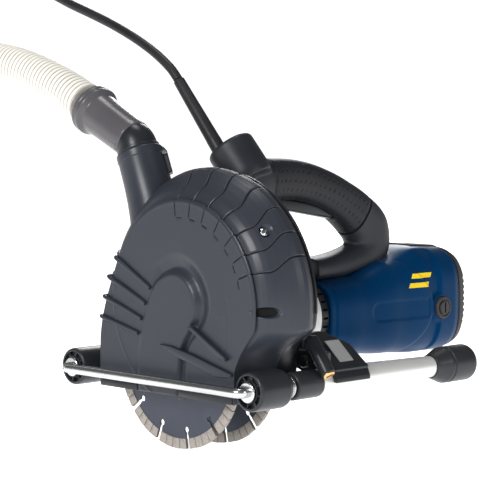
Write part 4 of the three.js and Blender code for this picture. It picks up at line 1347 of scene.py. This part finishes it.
def gear_case():
    """Light-alloy gear housing: the turned collar that shows, on the cast body."""
    parts = [
        lathe("collar", [(89, 0), (89, 31), (94, 36), (160, 38), (163.5, 41), (175, 41), (175.6, 40.4),
              (176.4, 40.4), (177, 41), (186, 41), (186, 0)], (0, *MOTOR), (1, 0, 0), 128, 0.8),
        lathe("lower", [(89, 0), (89, 32.6), (91, 34), (163, 34), (165, 32), (165, 0)],
              (0, SPINDLE[0], SPINDLE[1] + 2), (1, 0, 0), 96, 0.8),
        lathe("nose", [(84.4, 12.6), (84.4, 18.6), (90, 19), (90, 12.6)], (0, *SPINDLE), (1, 0, 0), 96, 0.5),
        block("lug", (100, -61.6, 98), (132, -24, 120), 2.0),
    ]
    finish(join("gear_case", parts), cast_alloy, "motor_unit", "cast_alloy", "gear_housing")


motor_housing()
end_cap()
brush_caps()
air_ring()
gear_case()


# ---- pivot arm and laser --------------------------------------------------------------------
LENS = Vector((84, -151, 83.5))
LENS_BACK = Vector((0, 0.586, 0.81)).normalized()


def pivot_arm():
    arm = link(bpy.data.objects.new("swing_arm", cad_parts["pivot_arm"].data.copy()))
    finish(melt(arm, 0.9, 5), black_plastic, "motor_unit", "black_plastic", "pivot_arm")
    profile = [(0.7, 0), (0.7, 5), (0, 5.2), (0, 6.6), (1, 7.4), (40, 7.4), (42, 5.8), (42, 0)]
    barrel = lathe("laser_body", profile, LENS, LENS_BACK, 96, 0.4)
    shoe = block("shoe", (84, -141.8, 92), (97.7, -130, 104), 1.4)
    finish(join("laser_tube", [barrel, shoe]), black_plastic, "motor_unit", "black_plastic", "laser_barrel")
    ring = lathe("laser_ring", [(-1.8, 3.5), (-1.8, 5.6), (-1.2, 6.2), (-0.3, 6.6), (-0.3, 3.5)],
                 LENS, LENS_BACK, 64, 0.2)
    finish(ring, lens_brass, "motor_unit", "brass", "lens_ring")
    profile = [(-1.2, 0), (-1.3, 1.6), (-1.0, 3.4), (0.4, 3.4), (0.4, 0)]
    lens = lathe("laser_glass", profile, LENS, LENS_BACK, 48, 0.1)
    finish(lens, lens_glass, "motor_unit", "brass")


def arm_web():
    outline = [(-122, 91), (-111, 77), (-92, 84), (-80, 102), (-98, 102)]
    finish(extrude("arm_rib", outline, 98, 106, on_yz, 1.0), black_plastic, "motor_unit", "black_plastic")


def arm_label():
    top = Vector((112, -119, 111))
    bottom = Vector((133, -140, 92.4))
    along = Vector((0, bottom.y - top.y, bottom.z - top.z))
    normal = along.cross(Vector((1, 0, 0))).normalized()
    if normal.z < 0:
        normal = -normal

    def place(a, b, height):
        return tuple(Vector((a, top.y, top.z)) + along * b + normal * height)

    patch = extrude("arm_plate", [(112, 0), (132, 0), (132, 1), (112, 1)], -0.6, 0.5, place, 0.2)
    finish(patch, label_film, "motor_unit", "grey_plastic")


pivot_arm()
arm_web()
arm_label()


# ---- handle ---------------------------------------------------------------------------------
LOOP = [
    (104, 260, 21, 24), (124, 266, 21, 24), (150, 268, 20, 22.5), (185, 266, 20, 22), (220, 257, 20, 22),
    (252, 243, 20, 23), (279, 226, 20, 26), (297, 209, 20, 29), (300, 192, 20, 26), (284, 180, 20, 19),
    (256, 174, 20, 15.5), (228, 171, 20, 14), (204, 170, 20, 13),
]
POST = [(118, 262, 19, 17), (124, 232, 18, 15), (130, 200, 18, 15), (136, 172, 19, 18)]
HEAD_TOP = Vector((103, 9, 304.5))
HEAD_AXIS = Vector((-0.17, 0.57, 0.8)).normalized()
GRIP = (0.13, 0.5)             # start and end of the rubber grip along the loop, 0 to 1
DIMPLES_AROUND = 14
DIMPLES_ALONG = 21


def sweep_rings(table, start, end, steps, grow, count=96, ends=0.0):
    at = catmull([(x, HANDLE_Y, z) for x, z, _, _ in table])
    rings = []
    for i in range(steps + 1):
        t = mix(start, end, i / steps)
        centre = at(t)
        tangent = (at(t + 0.002) - at(t - 0.002)).normalized()
        normal = Vector((-tangent.z, 0, tangent.x))
        place = t * (len(table) - 1)
        k = min(len(table) - 2, int(place))
        blend = place - k
        edge = ends * (1 - smooth(min(i, steps - i) / 3))
        wide, tall = [mix(table[k][c], table[k + 1][c], blend) + grow - edge for c in (2, 3)]
        ring = []
        for j in range(count):
            angle = 2 * math.pi * j / count
            a, b = math.cos(angle), math.sin(angle)
            reach = squircle(a, b, 2.5)
            ring.append(centre + Vector((0, a * reach * wide, 0)) + normal * (b * reach * tall))
        rings.append(ring)
    return rings


def finger_slot(top):
    """Tool that opens the inner side of the grip for the trigger."""
    return block("slot", (151, HANDLE_Y - 8.6, 215), (241, HANDLE_Y + 8.6, top))


def handle_body():
    head = lathe("head", [(0, 0), (0, 24), (8, 25.5), (43, 25.5), (46, 23.5), (46, 0)],
                 HEAD_TOP - HEAD_AXIS * 46, HEAD_AXIS, 96, 2.0)
    loop = rings_mesh("loop", sweep_rings(LOOP, 0, 1, 110, 0))
    post = rings_mesh("post", sweep_rings(POST, 0, 1, 40, 0))
    body = melt(join("handle_shell", [loop, post, head]), 1.5, 9)
    motor_rings = [section(x, *interpolate(HOUSING, x), -0.5, 96) for x in (197, 245, 280, 300, 333, 350)]
    tools = [
        rings_mesh("band", sweep_rings(LOOP, GRIP[0] - 0.004, GRIP[1] + 0.004, 60, 1.5)),
        finger_slot(250),
        block("floor", (70, -45, 90), (170, 45, 162.5)),
        lathe("front", [(180, 0), (180, 41.4), (198.5, 41.4), (198.5, 0)], (0, *MOTOR), (1, 0, 0), 128, 0),
        rings_mesh("motor", motor_rings),
        extrude("hood", hood_outline(80, -1.5, 120), -10, 88.4, on_yz),
    ]
    cut(body, tools, sharp=50)
    finish(body, soft_rubber, "motor_unit", "soft_rubber", "handle_near_shell", "handle_far_shell")
    # Near-black core that shows in the seams around the grip: painted shade between the grip and the shell.
    seam_core = rings_mesh("grip_core", sweep_rings(LOOP, GRIP[0] - 0.01, GRIP[1] + 0.01, 60, -1.6))
    cut(seam_core, [finger_slot(262)])
    finish(seam_core, painted_shade_and_carbon, "motor_unit", "soft_rubber")


def grip():
    rows, columns = 120, 96
    rings = sweep_rings(LOOP, GRIP[0], GRIP[1], rows, 0, columns, ends=1.2)
    sleeve = rings_mesh("grip_sleeve", rings, sharp=50)
    layer = sleeve.data.uv_layers.new(name="grip")
    for loop in sleeve.data.loops:
        row, column = divmod(loop.vertex_index, columns)
        across = column / columns * DIMPLES_AROUND
        layer.data[loop.index].uv = (row / rows * DIMPLES_ALONG + across * 0.5, across)
    cut(sleeve, [finger_slot(262)], sharp=50)
    finish(sleeve, grip_rubber, "motor_unit", "soft_rubber", "soft_grip")


def trigger():
    paddle = block("paddle", (-44, -7.2, -6), (44, 7.2, 6))
    turn = Matrix.Translation(Vector((196, HANDLE_Y, 237)) * MM) @ Matrix.Rotation(0.17, 4, "Y")
    paddle.data.transform(turn)
    soften(paddle, 3.0, 6)
    web = block("web", (182, HANDLE_Y - 5, 238), (218, HANDLE_Y + 5, 246.5), 0.5)
    finish(join("trigger_paddle", [paddle, web]), black_plastic, "trigger_lever", "black_plastic", "trigger")
    button = lathe("lock_pin_head", [(0, 0), (0, 4.9), (8.8, 4.9), (10, 3.8), (10, 0)],
                   (158, HANDLE_Y + 14, 268), (0, 1, 0), 48, 0.5)
    finish(button, black_plastic, "lock_pin", "black_plastic", "lock_button")


def guard():
    profile = [(-14, 0), (-14, 7.6), (10, 7.6), (14, 7.4)]
    profile += [(91.6, 6.1), (92, 5.3), (80, 5.2), (80, 0)]
    piece = lathe("bend_guard", profile, GUARD_BASE, GUARD_DIR, 64, 0.3)
    finish(piece, cable_rubber, "motor_unit", "soft_rubber", "cable_guard")


handle_body()
grip()
trigger()
guard()


# ---- small parts carried over from the CAD model --------------------------------------------
def screw_heads():
    radial = Vector((0, -math.cos(HOOD_SCREW[0]), math.sin(HOOD_SCREW[0])))
    surface = Vector((HOOD_SCREW[1], *HOOD)) + radial * rim_radius(HOOD_SCREW[1])
    head = lathe("hood_screw_head", [(0.9, 0), (1.0, 3.0), (2.0, 4.6), (3.4, 4.8), (3.4, 0)],
                 surface, -radial, 64, 0.3)
    across = radial.cross(Vector((1, 0, 0)))
    for turn in (0.5, 0.5 + math.pi / 2):
        a = Vector((1, 0, 0)) * math.cos(turn) + across * math.sin(turn)
        b = radial.cross(a)

        def place(u, v, height, a=a, b=b):
            return tuple(surface - radial * height + a * u + b * v)

        tool = extrude("cross", [(-2.6, -0.5), (2.6, -0.5), (2.6, 0.5), (-2.6, 0.5)], -2, 2.3, place)
        cut(head, [tool])
    finish(head, zinc, "carriage", "zinc_steel", "hood_screw")


CARRIED = {
    "spindle_shaft": zinc, "blade_spacer": zinc, "inner_flange": zinc, "clamp_nut": zinc, "drive_gear": iron,
    "armature_shaft": zinc, "armature_core": iron, "commutator": copper, "cooling_fan": black_plastic,
    "spindle_bearing": zinc, "front_motor_bearing": zinc, "rear_motor_bearing": zinc, "stator": iron,
    "carbon_brush_near": painted_shade_and_carbon, "carbon_brush_far": painted_shade_and_carbon, "switch_module": black_plastic,
    "depth_knob": black_plastic, "hose_connector": black_plastic, "mains_plug": cable_rubber,
    "port_clamp_screw": zinc, "front_axle_shaft": zinc, "rear_axle_shaft": zinc,
}


def carried_parts():
    for name, material in CARRIED.items():
        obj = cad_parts[name]
        obj.data.materials.clear()
        obj.data.materials.append(material)
        soften(obj, 0.35, 2, 50)


screw_heads()
carried_parts()


# ---- studio ---------------------------------------------------------------------------------
def area_light(name, place, aim, size, power):
    data = bpy.data.lights.new(name, "AREA")
    data.shape = "DISK"
    data.size = size
    data.energy = power
    light = link(bpy.data.objects.new(name, data))
    light.location = place
    light.rotation_euler = (Vector(aim) - Vector(place)).to_track_quat("-Z", "Y").to_euler()


def sky(world):
    """Bright near the horizon, dim overhead, so the plastics keep dark tones."""
    nodes = world.node_tree.nodes
    links = world.node_tree.links
    place = nodes.new("ShaderNodeTexCoord")
    split = nodes.new("ShaderNodeSeparateXYZ")
    links.new(place.outputs["Generated"], split.inputs["Vector"])
    ramp = nodes.new("ShaderNodeMapRange")
    ramp.interpolation_type = "SMOOTHSTEP"
    ramp.inputs["From Min"].default_value = 0.03
    ramp.inputs["From Max"].default_value = 0.16
    ramp.inputs["To Min"].default_value = 1.2
    ramp.inputs["To Max"].default_value = 0.14
    links.new(split.outputs["Z"], ramp.inputs["Value"])
    nodes["Background"].inputs["Color"].default_value = (1, 1, 1, 1)
    links.new(ramp.outputs["Result"], nodes["Background"].inputs["Strength"])


FLOOR_HALF = 60000


def studio():
    floor = block("floor", (-FLOOR_HALF, -FLOOR_HALF, -20.2), (FLOOR_HALF, FLOOR_HALF, -0.2))
    pale = plain("floor", (0.86, 0.86, 0.86), 0.6, (0.02, 3), (300, 0.05, 0.2))
    pale.node_tree.nodes["Principled BSDF"].inputs["Emission Color"].default_value = (1, 1, 1, 1)
    pale.node_tree.nodes["Principled BSDF"].inputs["Emission Strength"].default_value = 1.0
    floor.data.materials.append(pale)
    aim = (0.12, 0, 0.18)
    area_light("key", (-3.4, -0.6, 2.2), aim, 1.3, 115)
    area_light("front", (0.4, -3.6, 1.6), aim, 0.7, 18)
    area_light("top", (0.6, 0.6, 4.0), aim, 1.2, 34)
    area_light("rear", (3.0, 2.6, 2.0), aim, 1.4, 40)
    world = bpy.data.worlds.new("studio")
    world.use_nodes = True
    sky(world)
    bpy.context.scene.world = world
    bpy.context.scene.view_settings.view_transform = "Standard"


studio()
